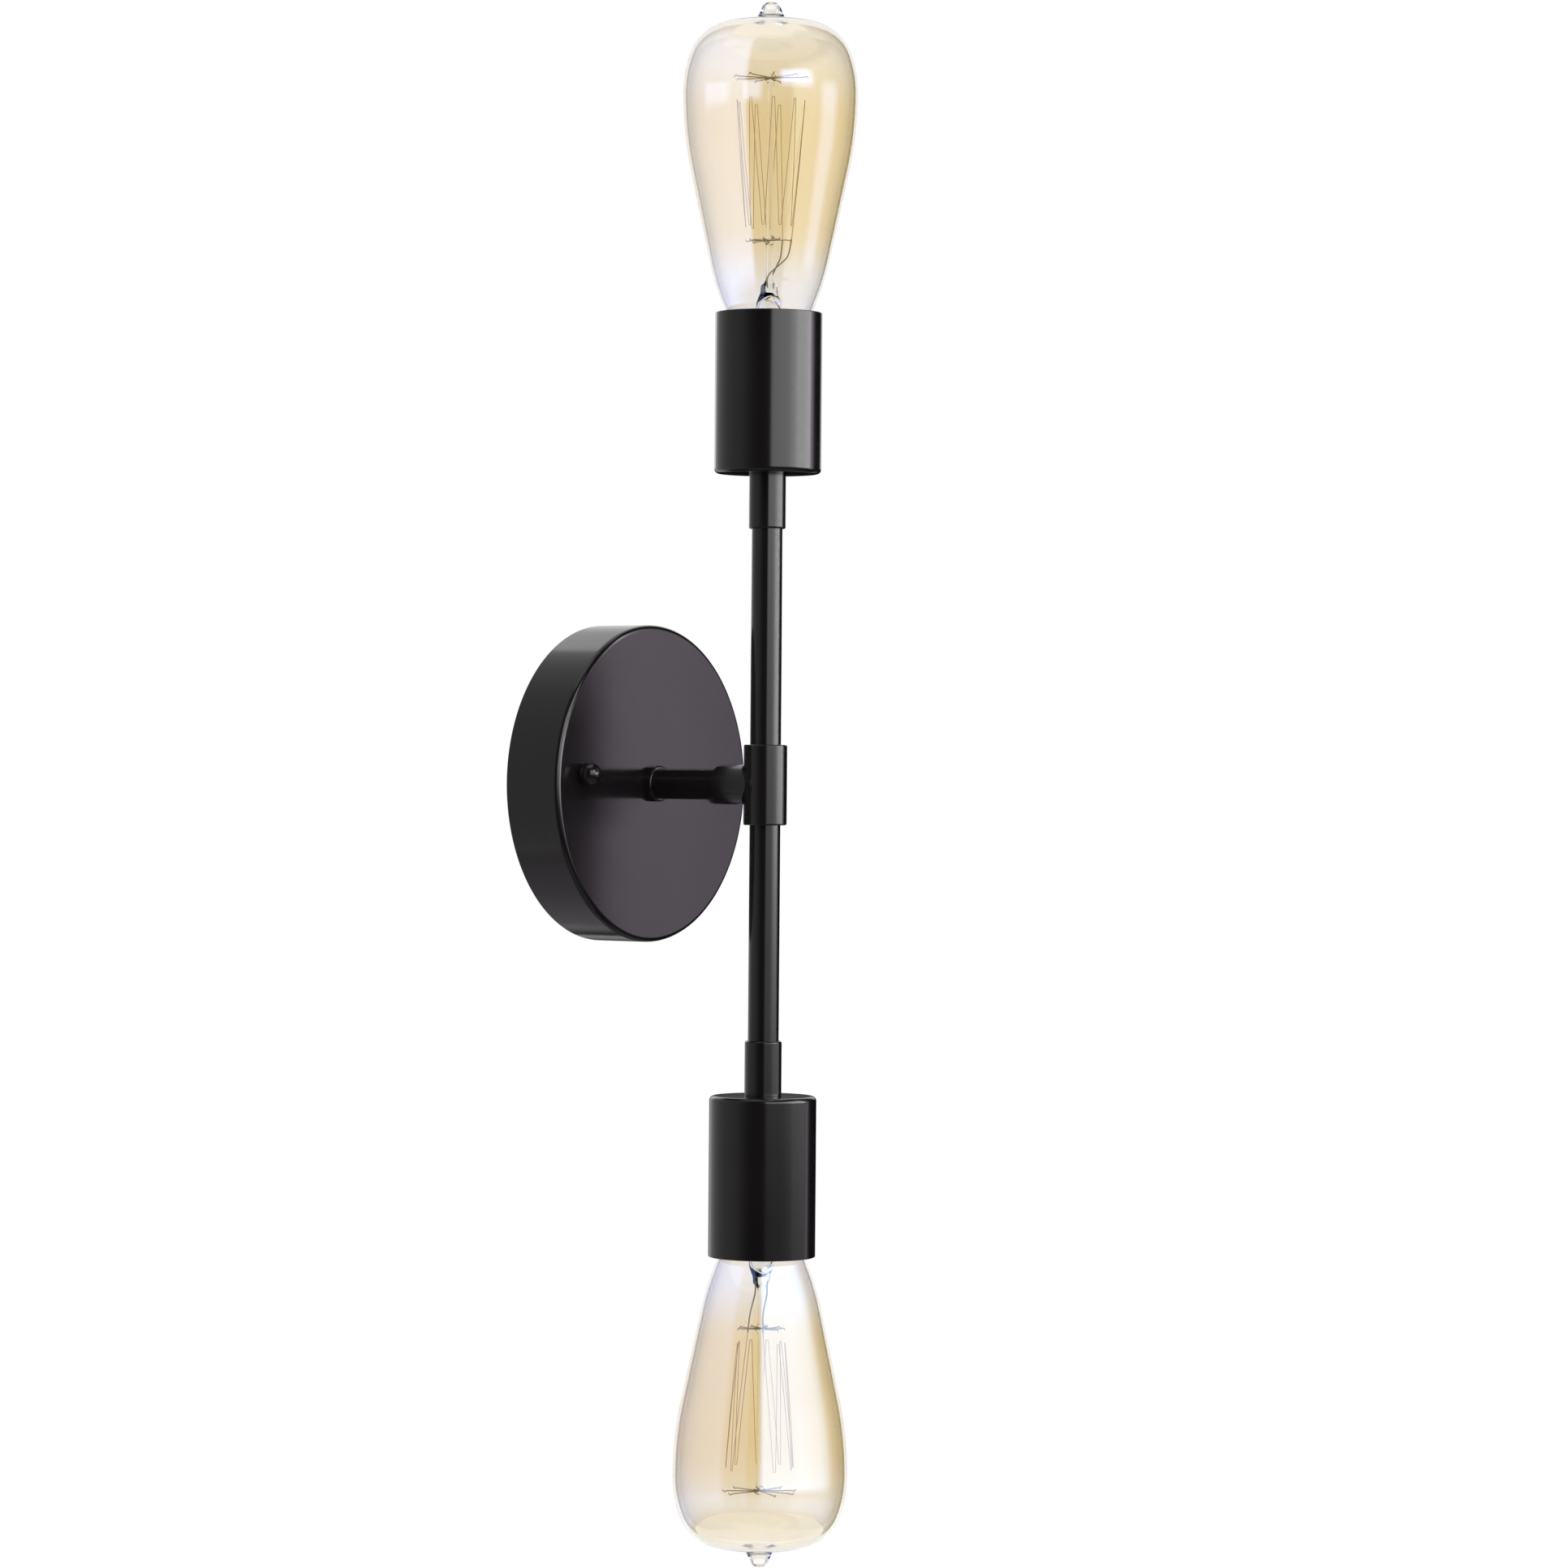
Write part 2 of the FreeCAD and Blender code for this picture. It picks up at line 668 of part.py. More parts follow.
def make_arm():
    """Ring, hollow nipple, spring washer, locknut and tube of the arm."""
    ring = turned("arm_ring", [
        ("fitted_nipple_hole", "canopy_depth"),
        ("arm_ring_radius", "canopy_depth"),
        ("arm_ring_radius", "arm_start - edge_break"),
        ("arm_ring_radius - edge_break", "arm_start"),
        ("fitted_nipple_hole", "arm_start"),
    ])
    put_on_wall(ring)
    keep(ring)
    nipple = turned("arm_nipple", pipe_corners(
        "nipple_bore_radius", "nipple_radius", "arm_nut_back - arm_nipple_inside", "arm_start + tube_seat"))
    put_on_wall(nipple)
    keep(nipple)
    washer = turned("arm_spring_washer", pipe_corners(
        "fitted_nipple_hole", "lock_washer_radius", "arm_nut_seat", "washer_seat"))
    gap = new_sketch(washer, "washer_gap", "XY_Plane")
    half = "lock_washer_gap / 2"
    add_lines(gap, [
        ("-(%s)" % half, "nipple_bore_radius"),
        (half, "nipple_bore_radius"),
        (half, "lock_washer_radius + lock_washer_gap"),
        ("-(%s)" % half, "lock_washer_radius + lock_washer_gap"),
    ])
    pocket(washer, gap, "washer_gap_cut", "canopy_depth", True)
    put_on_wall(washer)
    keep(washer)
    nut = hexagon_nut("arm_locknut", "arm_nut_flats", "arm_nut_thickness", "fitted_nipple_hole")
    put_on_wall(nut)
    nut.setExpression("Placement.Base.y", linked("-arm_nut_back"))
    keep(nut)
    tube = turned("arm_tube", pipe_corners("tube_bore_radius", "tube_radius", "arm_start", "arm_end"))
    put_on_wall(tube)
    keep(tube)


def make_tee():
    """Thick run on the bar with a branch towards the wall, bored for the tubes and the leads."""
    body = turned("tee", [
        ("0", "-tee_half_length"),
        ("tee_radius", "-tee_half_length"),
        ("tee_radius", "tee_half_length"),
        ("0", "tee_half_length"),
    ])
    branch = new_sketch(body, "tee_branch_outline")
    add_circle(branch, "0", "0", "tee_branch_radius")
    pad(body, branch, "tee_branch", "tee_branch_reach", False, True)
    run_bore = new_sketch(body, "tee_run_bore")
    seat = "tee_half_length - tube_seat"
    add_lines(run_bore, [
        ("0", "-tee_half_length"),
        ("fitted_tube_hole", "-tee_half_length"),
        ("fitted_tube_hole", "-(%s)" % seat),
        ("tee_bore_radius", "-(%s)" % seat),
        ("tee_bore_radius", seat),
        ("fitted_tube_hole", seat),
        ("fitted_tube_hole", "tee_half_length"),
        ("0", "tee_half_length"),
    ])
    revolve(body, run_bore, "tee_run_bore_cut", "PartDesign::Groove")
    arm_seat = new_sketch(body, "tee_arm_seat")
    add_circle(arm_seat, "0", "0", "tee_bore_radius")
    pocket(body, arm_seat, "tee_branch_bore_cut", "tee_branch_reach")
    branch_end = new_sketch(body, "tee_arm_seat_ring")
    add_circle(branch_end, "0", "0", "fitted_tube_hole")
    branch_end.AttachmentOffset.Base = Vector(0, 0, 0)
    branch_end.setExpression("AttachmentOffset.Base.z", linked("-(tee_branch_reach - tube_seat)"))
    pocket(body, branch_end, "tee_arm_seat_cut", "tube_seat")
    put_on_bar(body, 1)
    keep(body)


def make_bar(name, side):
    """Tube, coupler and cup of one side, with the nipple and locknut that hold the cup."""
    tube = turned(name + "_tube", pipe_corners(
        "tube_bore_radius", "tube_radius", "tee_half_length - tube_seat", "coupler_start + tube_seat"))
    put_on_bar(tube, side)
    keep(tube)
    coupler = turned(name + "_coupler", [
        ("fitted_tube_hole", "coupler_start"),
        ("coupler_radius - edge_break", "coupler_start"),
        ("coupler_radius", "coupler_start + edge_break"),
        ("coupler_radius", "coupler_end"),
        ("fitted_nipple_hole", "coupler_end"),
        ("fitted_nipple_hole", "coupler_start + tube_seat"),
        ("fitted_tube_hole", "coupler_start + tube_seat"),
    ])
    put_on_bar(coupler, side)
    keep(coupler)
    cup = turned(name + "_cup", [
        ("fitted_nipple_hole", "coupler_end"),
        ("cup_radius", "coupler_end"),
        ("cup_radius", "cup_mouth"),
        ("cup_radius - cup_wall", "cup_mouth"),
        ("cup_radius - cup_wall", "cup_floor"),
        ("fitted_nipple_hole", "cup_floor"),
    ])
    round_edge(cup, name + "_cup_edge", "cup_radius", "coupler_end", "cup_edge_round")
    put_on_bar(cup, side)
    keep(cup)
    nipple = turned(name + "_cup_nipple", pipe_corners(
        "nipple_bore_radius", "nipple_radius",
        "coupler_start + tube_seat + edge_break", "cup_nut_end + nipple_reach"))
    put_on_bar(nipple, side)
    nut = hexagon_nut(name + "_cup_locknut", "cup_nut_flats", "cup_nut_thickness", "fitted_nipple_hole")
    put_on_bar(nut, side, "cup_floor")
    return nipple, nut


def make_holder(name, side):
    """Lampholder of one side: cap, body with its socket, screw shell, tongue and terminal screws."""
    cap = turned(name + "_holder_cap", [
        ("fitted_nipple_hole", "cup_nut_end"),
        ("holder_radius - holder_cap_floor", "cup_nut_end"),
        ("holder_radius", "cup_nut_end + holder_cap_floor"),
        ("holder_radius", "holder_start"),
        ("holder_radius - holder_cap_wall", "holder_start"),
        ("holder_radius - holder_cap_wall", "cup_nut_end + holder_cap_floor"),
        ("fitted_nipple_hole", "cup_nut_end + holder_cap_floor"),
    ])
    put_on_bar(cap, side)
    holder = turned(name + "_holder_body", [
        ("0", "holder_start"),
        ("holder_radius", "holder_start"),
        ("holder_radius", "holder_end"),
        ("holder_mouth_radius", "holder_end"),
        ("screw_shell_radius + fit_gap", "sleeve_end"),
        ("screw_shell_radius + fit_gap", "socket_floor"),
        ("0", "socket_floor"),
    ])
    holes = new_sketch(holder, name + "_terminal_holes", "XY_Plane")
    for hand in (1, -1):
        add_circle(holes, "%d * terminal_across" % hand, "0", "terminal_shank_radius + fit_gap")
    pocket(holder, holes, name + "_terminal_hole_cuts", "holder_start + terminal_shank_length", True)
    put_on_bar(holder, side)
    shell = turned(name + "_screw_shell", [
        ("screw_shell_radius - screw_shell_lip", "socket_floor"),
        ("screw_shell_radius", "socket_floor"),
        ("screw_shell_radius", "sleeve_end"),
        ("screw_shell_bore_radius", "sleeve_end"),
        ("screw_shell_bore_radius", "socket_floor + screw_shell_wall"),
        ("screw_shell_radius - screw_shell_lip", "socket_floor + screw_shell_wall"),
    ])
    put_on_bar(shell, side)
    tongue = new_body(name + "_tongue")
    outline = new_sketch(tongue, name + "_tongue_outline")
    rise = "socket_floor + tongue_rise"
    add_lines(outline, [
        ("-tongue_foot", "socket_floor"),
        ("-tongue_head", "socket_floor"),
        ("0", rise + " - tongue_thickness"),
        ("tongue_head", rise + " - tongue_thickness"),
        ("tongue_head", rise),
        ("-tongue_thickness", rise),
        ("-tongue_head - tongue_thickness", "socket_floor + tongue_thickness"),
        ("-tongue_foot", "socket_floor + tongue_thickness"),
    ])
    pad(tongue, outline, name + "_tongue_strip", "tongue_width", True)
    put_on_bar(tongue, side)
    screws = []
    for hand in (1, -1):
        label = "%s_terminal_screw_%d" % (name, 1 + (hand < 0))
        screw = turned(label, [
            ("0", "-terminal_head_thickness"),
            ("terminal_head_radius", "-terminal_head_thickness"),
            ("terminal_head_radius", "0"),
            ("terminal_shank_radius", "0"),
            ("terminal_shank_radius", "terminal_shank_length"),
            ("0", "terminal_shank_length"),
        ])
        put_on_bar(screw, side, "holder_start")
        screw.setExpression("Placement.Base.x", linked("%d * terminal_across" % hand))
        screws.append(screw)
    return cap, holder, shell, tongue, screws


def make_leads():
    """Live and neutral leads from each lampholder through tube, tee and arm, and their splice caps."""
    radius = number("lead_radius")
    offset = number("lead_offset")
    bar_y = -number("bar_offset")
    end_height = number("holder_start - terminal_head_thickness - lead_radius - fit_gap")
    splice_y = -number("splice_plane")
    splice_x = number("splice_start + lead_in_splice")
    rounds = [number("lead_terminal_round"), number("lead_tee_round"), number("lead_canopy_round")]
    for name, side in SIDES:
        for duty, hand in (("live", -1), ("neutral", 1)):
            points = [
                Vector(hand * number("terminal_across"), bar_y, side * end_height),
                Vector(hand * offset, bar_y, side * end_height),
                Vector(hand * offset, bar_y, side * offset),
                Vector(hand * offset, splice_y, side * offset),
                Vector(hand * splice_x, splice_y, side * offset),
            ]
            keep(shaped("%s_%s_lead" % (name, duty), lead_solid(points, rounds, radius)))
    for duty, hand in (("live", -1), ("neutral", 1)):
        cap = turned(duty + "_splice_cap", [
            ("splice_bore_radius", "splice_start"),
            ("splice_mouth_radius", "splice_start"),
            ("splice_end_radius", "splice_start + splice_length"),
            ("0", "splice_start + splice_length"),
            ("0", "splice_start + splice_length - splice_floor"),
            ("splice_bore_radius", "splice_start + splice_length - splice_floor"),
        ])
        cap.Placement.Rotation = FreeCAD.Rotation(Vector(0, 1, 0), hand * QUARTER_TURN)
        cap.setExpression("Placement.Base.y", linked("-splice_plane"))
        keep(cap)


def make_bulb_base(name, side):
    """End contact, black glass insulator and screw cap of one bulb."""
    contact = turned(name + "_bulb_end_contact", [
        ("0", "0"),
        ("end_contact_radius - end_contact_height", "0"),
        ("end_contact_radius", "end_contact_height / 2"),
        ("end_contact_radius", "end_contact_height"),
        ("0", "end_contact_height"),
    ])
    insulator_end = "end_contact_height + insulator_height"
    insulator = turned(name + "_bulb_insulator", [
        ("0", "end_contact_height"),
        ("end_contact_radius + fit_gap", "end_contact_height"),
        ("insulator_top_radius", insulator_end),
        ("0", insulator_end),
    ])
    wide = "bulb_cap_radius"
    inner = "bulb_cap_radius - bulb_cap_wall"
    shoulder = insulator_end + " + bulb_cap_slope"
    cap = turned(name + "_bulb_cap", [
        ("insulator_top_radius - bulb_cap_slope", insulator_end),
        ("insulator_top_radius", insulator_end),
        (wide, shoulder),
        (wide, "bulb_cap_height"),
        (inner, "bulb_cap_height"),
        (inner, shoulder),
        ("insulator_top_radius - bulb_cap_slope", insulator_end + " + bulb_cap_wall"),
    ])
    for piece in (contact, insulator, cap):
        put_on_bar(piece, side, "bulb_tip")
        keep(piece)


def make_glass(name, side):
    """Pear-shaped envelope: neck, knee, cone, widest belt, shoulder, crown and dome as tangent edges."""
    body = new_body(name + "_bulb_glass")
    sketch = new_sketch(body, name + "_bulb_glass_outline")
    axis = Vector(0, 0, 1)
    neck = number("neck_radius")
    foot = number("bulb_cap_height - neck_seat")
    turn = number("neck_top")
    knee = Vector(number("knee_radius"), number("knee_height"), 0)
    widest = Vector(number("widest_radius"), number("widest_height"), 0)
    rounds = {part: number(part + "_round") for part in ("knee", "body", "shoulder", "crown", "dome")}
    dome_middle = Vector(0, number("dome_height") - rounds["dome"], 0)
    body_middle = widest - Vector(rounds["body"], 0, 0)
    shoulder_middle = widest - Vector(rounds["shoulder"], 0, 0)
    # the cone's line touches the body arc; the crown arc touches its two neighbours
    towards = knee - body_middle
    lean = math.atan2(towards.y, towards.x) + math.acos(rounds["body"] / towards.Length)
    cone_end = body_middle + Vector(math.cos(lean), math.sin(lean), 0) * rounds["body"]
    near = rounds["shoulder"] - rounds["crown"]
    far = rounds["dome"] - rounds["crown"]
    between = dome_middle - shoulder_middle
    along = (near ** 2 - far ** 2 + between.Length ** 2) / (2 * between.Length)
    aside = math.sqrt(near ** 2 - along ** 2)
    unit = Vector(between).normalize()
    crown_middle = shoulder_middle + unit * along + Vector(-unit.y, unit.x, 0) * -aside
    if crown_middle.x < shoulder_middle.x:
        crown_middle = shoulder_middle + unit * along + Vector(-unit.y, unit.x, 0) * aside
    shoulder_end = math.atan2(crown_middle.y - shoulder_middle.y, crown_middle.x - shoulder_middle.x)
    crown_end = math.atan2(crown_middle.y - dome_middle.y, crown_middle.x - dome_middle.x)
    tip_base = number("tip_base_radius")
    dome_end = math.acos(tip_base / rounds["dome"])
    # the knee arc joins the neck's cone and the long cone
    neck_top = Vector(neck, turn, 0)
    back = (neck_top - knee).normalize()
    ahead = (cone_end - knee).normalize()
    half_angle = back.getAngle(ahead) / 2
    trim = rounds["knee"] / math.tan(half_angle)
    knee_start = knee + back * trim
    knee_end = knee + ahead * trim
    inward = Vector(-ahead.y, ahead.x, 0)
    knee_middle = knee_end + inward * rounds["knee"]
    start_angle = math.atan2(knee_start.y - knee_middle.y, knee_start.x - knee_middle.x)
    end_angle = math.atan2(knee_end.y - knee_middle.y, knee_end.x - knee_middle.x)

    def arc(middle, radius, begin, end):
        return sketch.addGeometry(Part.ArcOfCircle(Part.Circle(middle, axis, radius), begin, end))

    def line(first, last):
        return sketch.addGeometry(Part.LineSegment(first, last))

    neck_edge = line(Vector(neck, foot, 0), neck_top)
    neck_cone = line(neck_top, knee_start)
    knee_arc = arc(knee_middle, rounds["knee"], start_angle, end_angle)
    long_cone = line(knee_end, cone_end)
    body_arc = arc(body_middle, rounds["body"], lean, 0)
    shoulder_arc = arc(shoulder_middle, rounds["shoulder"], 0, shoulder_end)
    crown_arc = arc(crown_middle, rounds["crown"], shoulder_end, crown_end)
    dome_arc = arc(dome_middle, rounds["dome"], crown_end, dome_end)
    chain = [neck_edge, neck_cone, knee_arc, long_cone, body_arc, shoulder_arc, crown_arc, dome_arc]
    sketch.addConstraint(Sketcher.Constraint("Coincident", neck_edge, 2, neck_cone, 1))
    for first, last in zip(chain[1:-1], chain[2:]):
        sketch.addConstraint(Sketcher.Constraint("Tangent", first, 2, last, 1))
    for edge, part in ((knee_arc, "knee"), (body_arc, "body"), (shoulder_arc, "shoulder"),
                       (crown_arc, "crown"), (dome_arc, "dome")):
        index = sketch.addConstraint(Sketcher.Constraint("Radius", edge, rounds[part]))
        sketch.setExpression("Constraints[%d]" % index, linked(part + "_round"))
    corner = sketch.addGeometry(Part.Point(knee), True)
    fix_point(sketch, corner, 1, "knee_radius", "knee_height")
    sketch.addConstraint(Sketcher.Constraint("PointOnObject", corner, 1, neck_cone))
    sketch.addConstraint(Sketcher.Constraint("PointOnObject", corner, 1, long_cone))
    fix_point(sketch, neck_edge, 1, "neck_radius", "bulb_cap_height - neck_seat")
    fix_point(sketch, neck_edge, 2, "neck_radius", "neck_top")
    fix_point(sketch, body_arc, 2, "widest_radius", "widest_height")
    index = sketch.addConstraint(Sketcher.Constraint("DistanceY", -1, 1, body_arc, 3, widest.y))
    sketch.setExpression("Constraints[%d]" % index, linked("widest_height"))
    fix_point(sketch, dome_arc, 3, "0", "dome_height - dome_round")
    index = sketch.addConstraint(Sketcher.Constraint("DistanceX", -1, 1, dome_arc, 2, tip_base))
    sketch.setExpression("Constraints[%d]" % index, linked("tip_base_radius"))
    # sealed-off tip, the axis, then the inner wall from the dome down to the neck
    corners = [
        ("tip_end_radius", "dome_height + tip_height - tip_blunt"),
        ("0", "dome_height + tip_height"),
    ]
    reach = "(widest_radius - glass_wall)"
    rise = "(dome_height - glass_wall - widest_height)"
    for height, radius in INNER_DOME_SHARES:
        corners.append(("%s * %s" % (radius, reach), "widest_height + %s * %s" % (height, rise)))
    drop, radius = INNER_BELT_SHARES
    corners.append(("%s * %s" % (radius, reach), "widest_height - %s * body_rise" % drop))
    corners.append(("knee_radius - glass_wall", "knee_height"))
    corners.append(("neck_radius - glass_wall", "neck_top"))
    corners.append(("neck_radius - glass_wall", "bulb_cap_height - neck_seat"))
    points = [Vector(number(across), number(along), 0) for across, along in corners]
    dome_point = dome_middle + Vector(math.cos(dome_end), math.sin(dome_end), 0) * rounds["dome"]
    edges = [line(dome_point, points[0])]
    for first, last in zip(points[:-1], points[1:]):
        edges.append(line(first, last))
    edges.append(line(points[-1], Vector(neck, foot, 0)))
    sketch.addConstraint(Sketcher.Constraint("Coincident", dome_arc, 2, edges[0], 1))
    for first, last in zip(edges[:-1], edges[1:]):
        sketch.addConstraint(Sketcher.Constraint("Coincident", first, 2, last, 1))
    sketch.addConstraint(Sketcher.Constraint("Coincident", edges[-1], 2, neck_edge, 1))
    for edge, (across, along) in zip(edges[1:], corners):
        fix_point(sketch, edge, 1, across, along)
    revolve(body, sketch, name + "_bulb_glass_turning")
    put_on_bar(body, side, "bulb_tip")
    keep(body)


def make_stem(name, side):
    """Glass stem: flare sealed to the neck, hollow tube, flat pinch, rod and its two hubs."""
    foot = "bulb_cap_height - neck_seat"
    flare = "neck_radius - glass_wall"
    half_hub = "hub_height / 2"
    bore = "stem_radius - stem_wall"
    body = turned(name + "_bulb_stem", [
        (bore, foot),
        (flare, foot),
        (flare, foot + " + stem_wall"),
        ("stem_radius", foot + " + stem_flare_height"),
        ("stem_radius", "pinch_start"),
        ("rod_radius", "pinch_start + stem_wall"),
        ("rod_radius", "lower_hub_height - " + half_hub),
        ("hub_radius", "lower_hub_height - " + half_hub),
        ("hub_radius", "lower_hub_height + " + half_hub),
        ("rod_radius", "lower_hub_height + " + half_hub),
        ("rod_radius", "upper_hub_height - " + half_hub),
        ("hub_radius", "upper_hub_height - " + half_hub),
        ("hub_radius", "upper_hub_height + " + half_hub),
        ("0", "upper_hub_height + " + half_hub),
        ("0", "pinch_start - stem_wall"),
        (bore, "pinch_start - stem_wall"),
    ])
    pinch = new_sketch(body, name + "_pinch_outline")
    half = "stem_radius - stem_wall / 2"
    add_lines(pinch, [
        ("-(%s)" % half, "pinch_start - stem_wall / 2"),
        (half, "pinch_start - stem_wall / 2"),
        (bore, "pinch_start + pinch_height"),
        ("-(%s)" % bore, "pinch_start + pinch_height"),
    ])
    pad(body, pinch, name + "_pinch", "pinch_thickness", True)
    put_on_bar(body, side, "bulb_tip")
    keep(body)


def ring_point(radius, step, height):
    """Point of the filament cage, at a number of steps round the rod."""
    angle = step * CAGE_STEP
    return Vector(radius * math.cos(angle), radius * math.sin(angle), height)


def hooked(radius, step, height, hook):
    """Two bends close together, where the filament is hung on the end of a support."""
    middle = ring_point(radius, step, height)
    aside = ring_point(hook / 2, step, 0)
    aside = Vector(-aside.y, aside.x, 0)
    return [middle - aside, middle + aside]


def make_cage(name, side):
    """Lead wires and radiating supports on the stem, and the filament zigzag that they stretch."""
    low = number("lower_hub_height")
    high = number("upper_hub_height")
    low_radius = number("lower_ring_radius")
    high_radius = number("upper_ring_radius")
    hub = number("hub_radius")
    thick = number("support_wire_radius")
    pinch_top = number("pinch_start + pinch_height")
    foot_across = number("stem_radius - stem_wall - pinch_thickness / 2")
    foot_aside = number("pinch_thickness / 4")
    hook = number("filament_hook")
    wires = []
    for step in range(1, CAGE_TOP_COUNT):
        end = ring_point(low_radius + hook / 2, step, low)
        wires.append(straight_wire(ring_point(hub, step, low), end, thick))
    for step in range(CAGE_TOP_COUNT):
        middle = step + 1 / 2
        end = ring_point(high_radius + hook / 2, middle, high)
        wires.append(straight_wire(ring_point(hub, middle, high), end, thick))
    for step, hand in ((0, 1), (CAGE_TOP_COUNT, -1)):
        foot = Vector(hand * foot_across, hand * foot_aside, pinch_top)
        wires.append(straight_wire(foot, ring_point(low_radius, step, low), thick))
    supports = shaped(name + "_bulb_supports", Part.makeCompound(wires))
    fine = number("filament_radius")
    rest = thick + fine
    zigzag = [ring_point(low_radius, 0, low + rest)]
    for step in range(CAGE_TOP_COUNT):
        zigzag += hooked(high_radius, step + 1 / 2, high + rest, hook)
        if step + 1 < CAGE_TOP_COUNT:
            zigzag += hooked(low_radius, step + 1, low - rest, hook)
    zigzag.append(ring_point(low_radius, CAGE_TOP_COUNT, low + rest))
    filament = shaped(name + "_bulb_filament", bent_wire(zigzag, fine))
    for piece in (supports, filament):
        put_on_bar(piece, side, "bulb_tip")
        keep(piece)


def main():
    """Builds the pieces, checks them and writes one file for each node."""
    make_canopy()
    make_strap()
    make_studs()
    make_earth()
    make_arm()
    make_tee()
    for name, side in SIDES:
        nipple, nut = make_bar(name, side)
        keep(nipple)
        keep(nut)
        cap, holder, shell, tongue, screws = make_holder(name, side)
        for piece in (cap, holder, shell, tongue):
            keep(piece)
        keep_group(name + "_terminal_screws", screws)
    make_leads()
    for name, side in SIDES:
        make_bulb_base(name, side)
        make_glass(name, side)
        make_stem(name, side)
        make_cage(name, side)
    doc.recompute()
    for item in doc.Objects:
        if "Invalid" in item.State or "Error" in item.State:
            raise ValueError("%s failed: %s" % (item.Label, item.State))
    os.makedirs("parts", exist_ok=True)
    for piece in kept:
        shape = piece.Shape
        if shape.isNull() or not shape.isValid() or not shape.Solids:
            raise ValueError("%s has no sound solid" % piece.Label)
        print("%s: %d solid(s), %.1f mm3" % (piece.Label, len(shape.Solids), shape.Volume))
    for piece in kept:
        piece.Shape.exportStep("parts/%s.step" % piece.Label)


main()
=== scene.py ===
"""Looks of a double wall sconce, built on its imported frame.

The wall is the plane y = 0, the room is at y < 0 and z is up. Two axes carry nearly every piece: the
wall axis, out from the wall through the canopy and the arm, and the bar axis, up or down through a
tube, a cup and a bulb. Pieces are drawn as radius against height along one of them, in millimetres.
"""

from __future__ import annotations

import json
import logging
import math
from dataclasses import dataclass, field, replace
from enum import Enum
from typing import Callable, Sequence

import bpy
import numpy as np
from mathutils import Matrix, Vector

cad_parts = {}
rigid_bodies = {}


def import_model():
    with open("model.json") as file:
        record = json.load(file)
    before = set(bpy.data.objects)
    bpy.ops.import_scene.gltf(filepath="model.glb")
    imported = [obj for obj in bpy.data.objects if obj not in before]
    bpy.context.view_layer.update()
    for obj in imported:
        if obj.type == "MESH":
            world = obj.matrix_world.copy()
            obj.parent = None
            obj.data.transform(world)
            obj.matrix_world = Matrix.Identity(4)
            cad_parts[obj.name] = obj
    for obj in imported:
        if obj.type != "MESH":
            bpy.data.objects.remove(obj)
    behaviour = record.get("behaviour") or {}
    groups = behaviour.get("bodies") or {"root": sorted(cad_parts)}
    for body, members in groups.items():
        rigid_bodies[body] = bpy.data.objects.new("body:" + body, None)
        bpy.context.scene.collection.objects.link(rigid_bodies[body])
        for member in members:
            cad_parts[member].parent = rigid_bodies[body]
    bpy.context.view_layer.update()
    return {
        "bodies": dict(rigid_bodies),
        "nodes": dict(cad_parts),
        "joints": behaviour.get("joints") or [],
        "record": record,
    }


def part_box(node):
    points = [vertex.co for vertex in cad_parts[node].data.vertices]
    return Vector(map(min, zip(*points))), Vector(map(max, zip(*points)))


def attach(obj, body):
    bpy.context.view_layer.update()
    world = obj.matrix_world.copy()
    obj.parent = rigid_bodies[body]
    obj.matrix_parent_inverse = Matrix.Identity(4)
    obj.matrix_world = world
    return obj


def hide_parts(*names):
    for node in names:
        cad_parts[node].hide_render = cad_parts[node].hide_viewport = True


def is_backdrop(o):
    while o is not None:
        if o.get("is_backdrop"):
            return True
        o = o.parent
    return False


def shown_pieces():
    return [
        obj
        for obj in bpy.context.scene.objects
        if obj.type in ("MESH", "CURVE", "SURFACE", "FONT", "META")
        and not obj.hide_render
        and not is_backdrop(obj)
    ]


logging.basicConfig(level=logging.INFO, format="%(message)s")
LOG = logging.getLogger("sconce")

MM = 0.001
FULL_TURN = 2 * math.pi
SIDES_FINE = 144
SIDES_PLAIN = 72
POLE_SIZE = 1e-9
FIT = 0.05
BULB_PITCH = 25.4 / 7
WHITE = (1.0, 1.0, 1.0)
Node = bpy.types.Node
Socket = bpy.types.NodeSocket
Pair = tuple[float, float]
Triple = tuple[float, float, float]


# mesh tools


@dataclass(frozen=True)
class Axis:
    """Straight axis that pieces are turned about.

    Args:
        origin: the point that heights are measured from.
        along: unit vector in which heights grow.
        across: unit vector square to it, where the turning angle is zero.
    """

    origin: Triple
    along: Triple
    across: Triple

    def place(self, local: np.ndarray) -> np.ndarray:
        """Turns points in the axis's own frame into points in the row frame.

        Args:
            local: array whose last dimension holds across, beside and along.

        Returns:
            An array of the same shape, in metres.
        """
        along = np.array(self.along)
        across = np.array(self.across)
        turn = np.stack([across, np.cross(along, across), along])
        return np.array(self.origin) + local @ turn

    def moved(self, height: float) -> Axis:
        """The same axis with its heights, in metres, measured from another point up it."""
        origin = np.array(self.origin) + height * np.array(self.along)
        return Axis(tuple(origin), self.along, self.across)


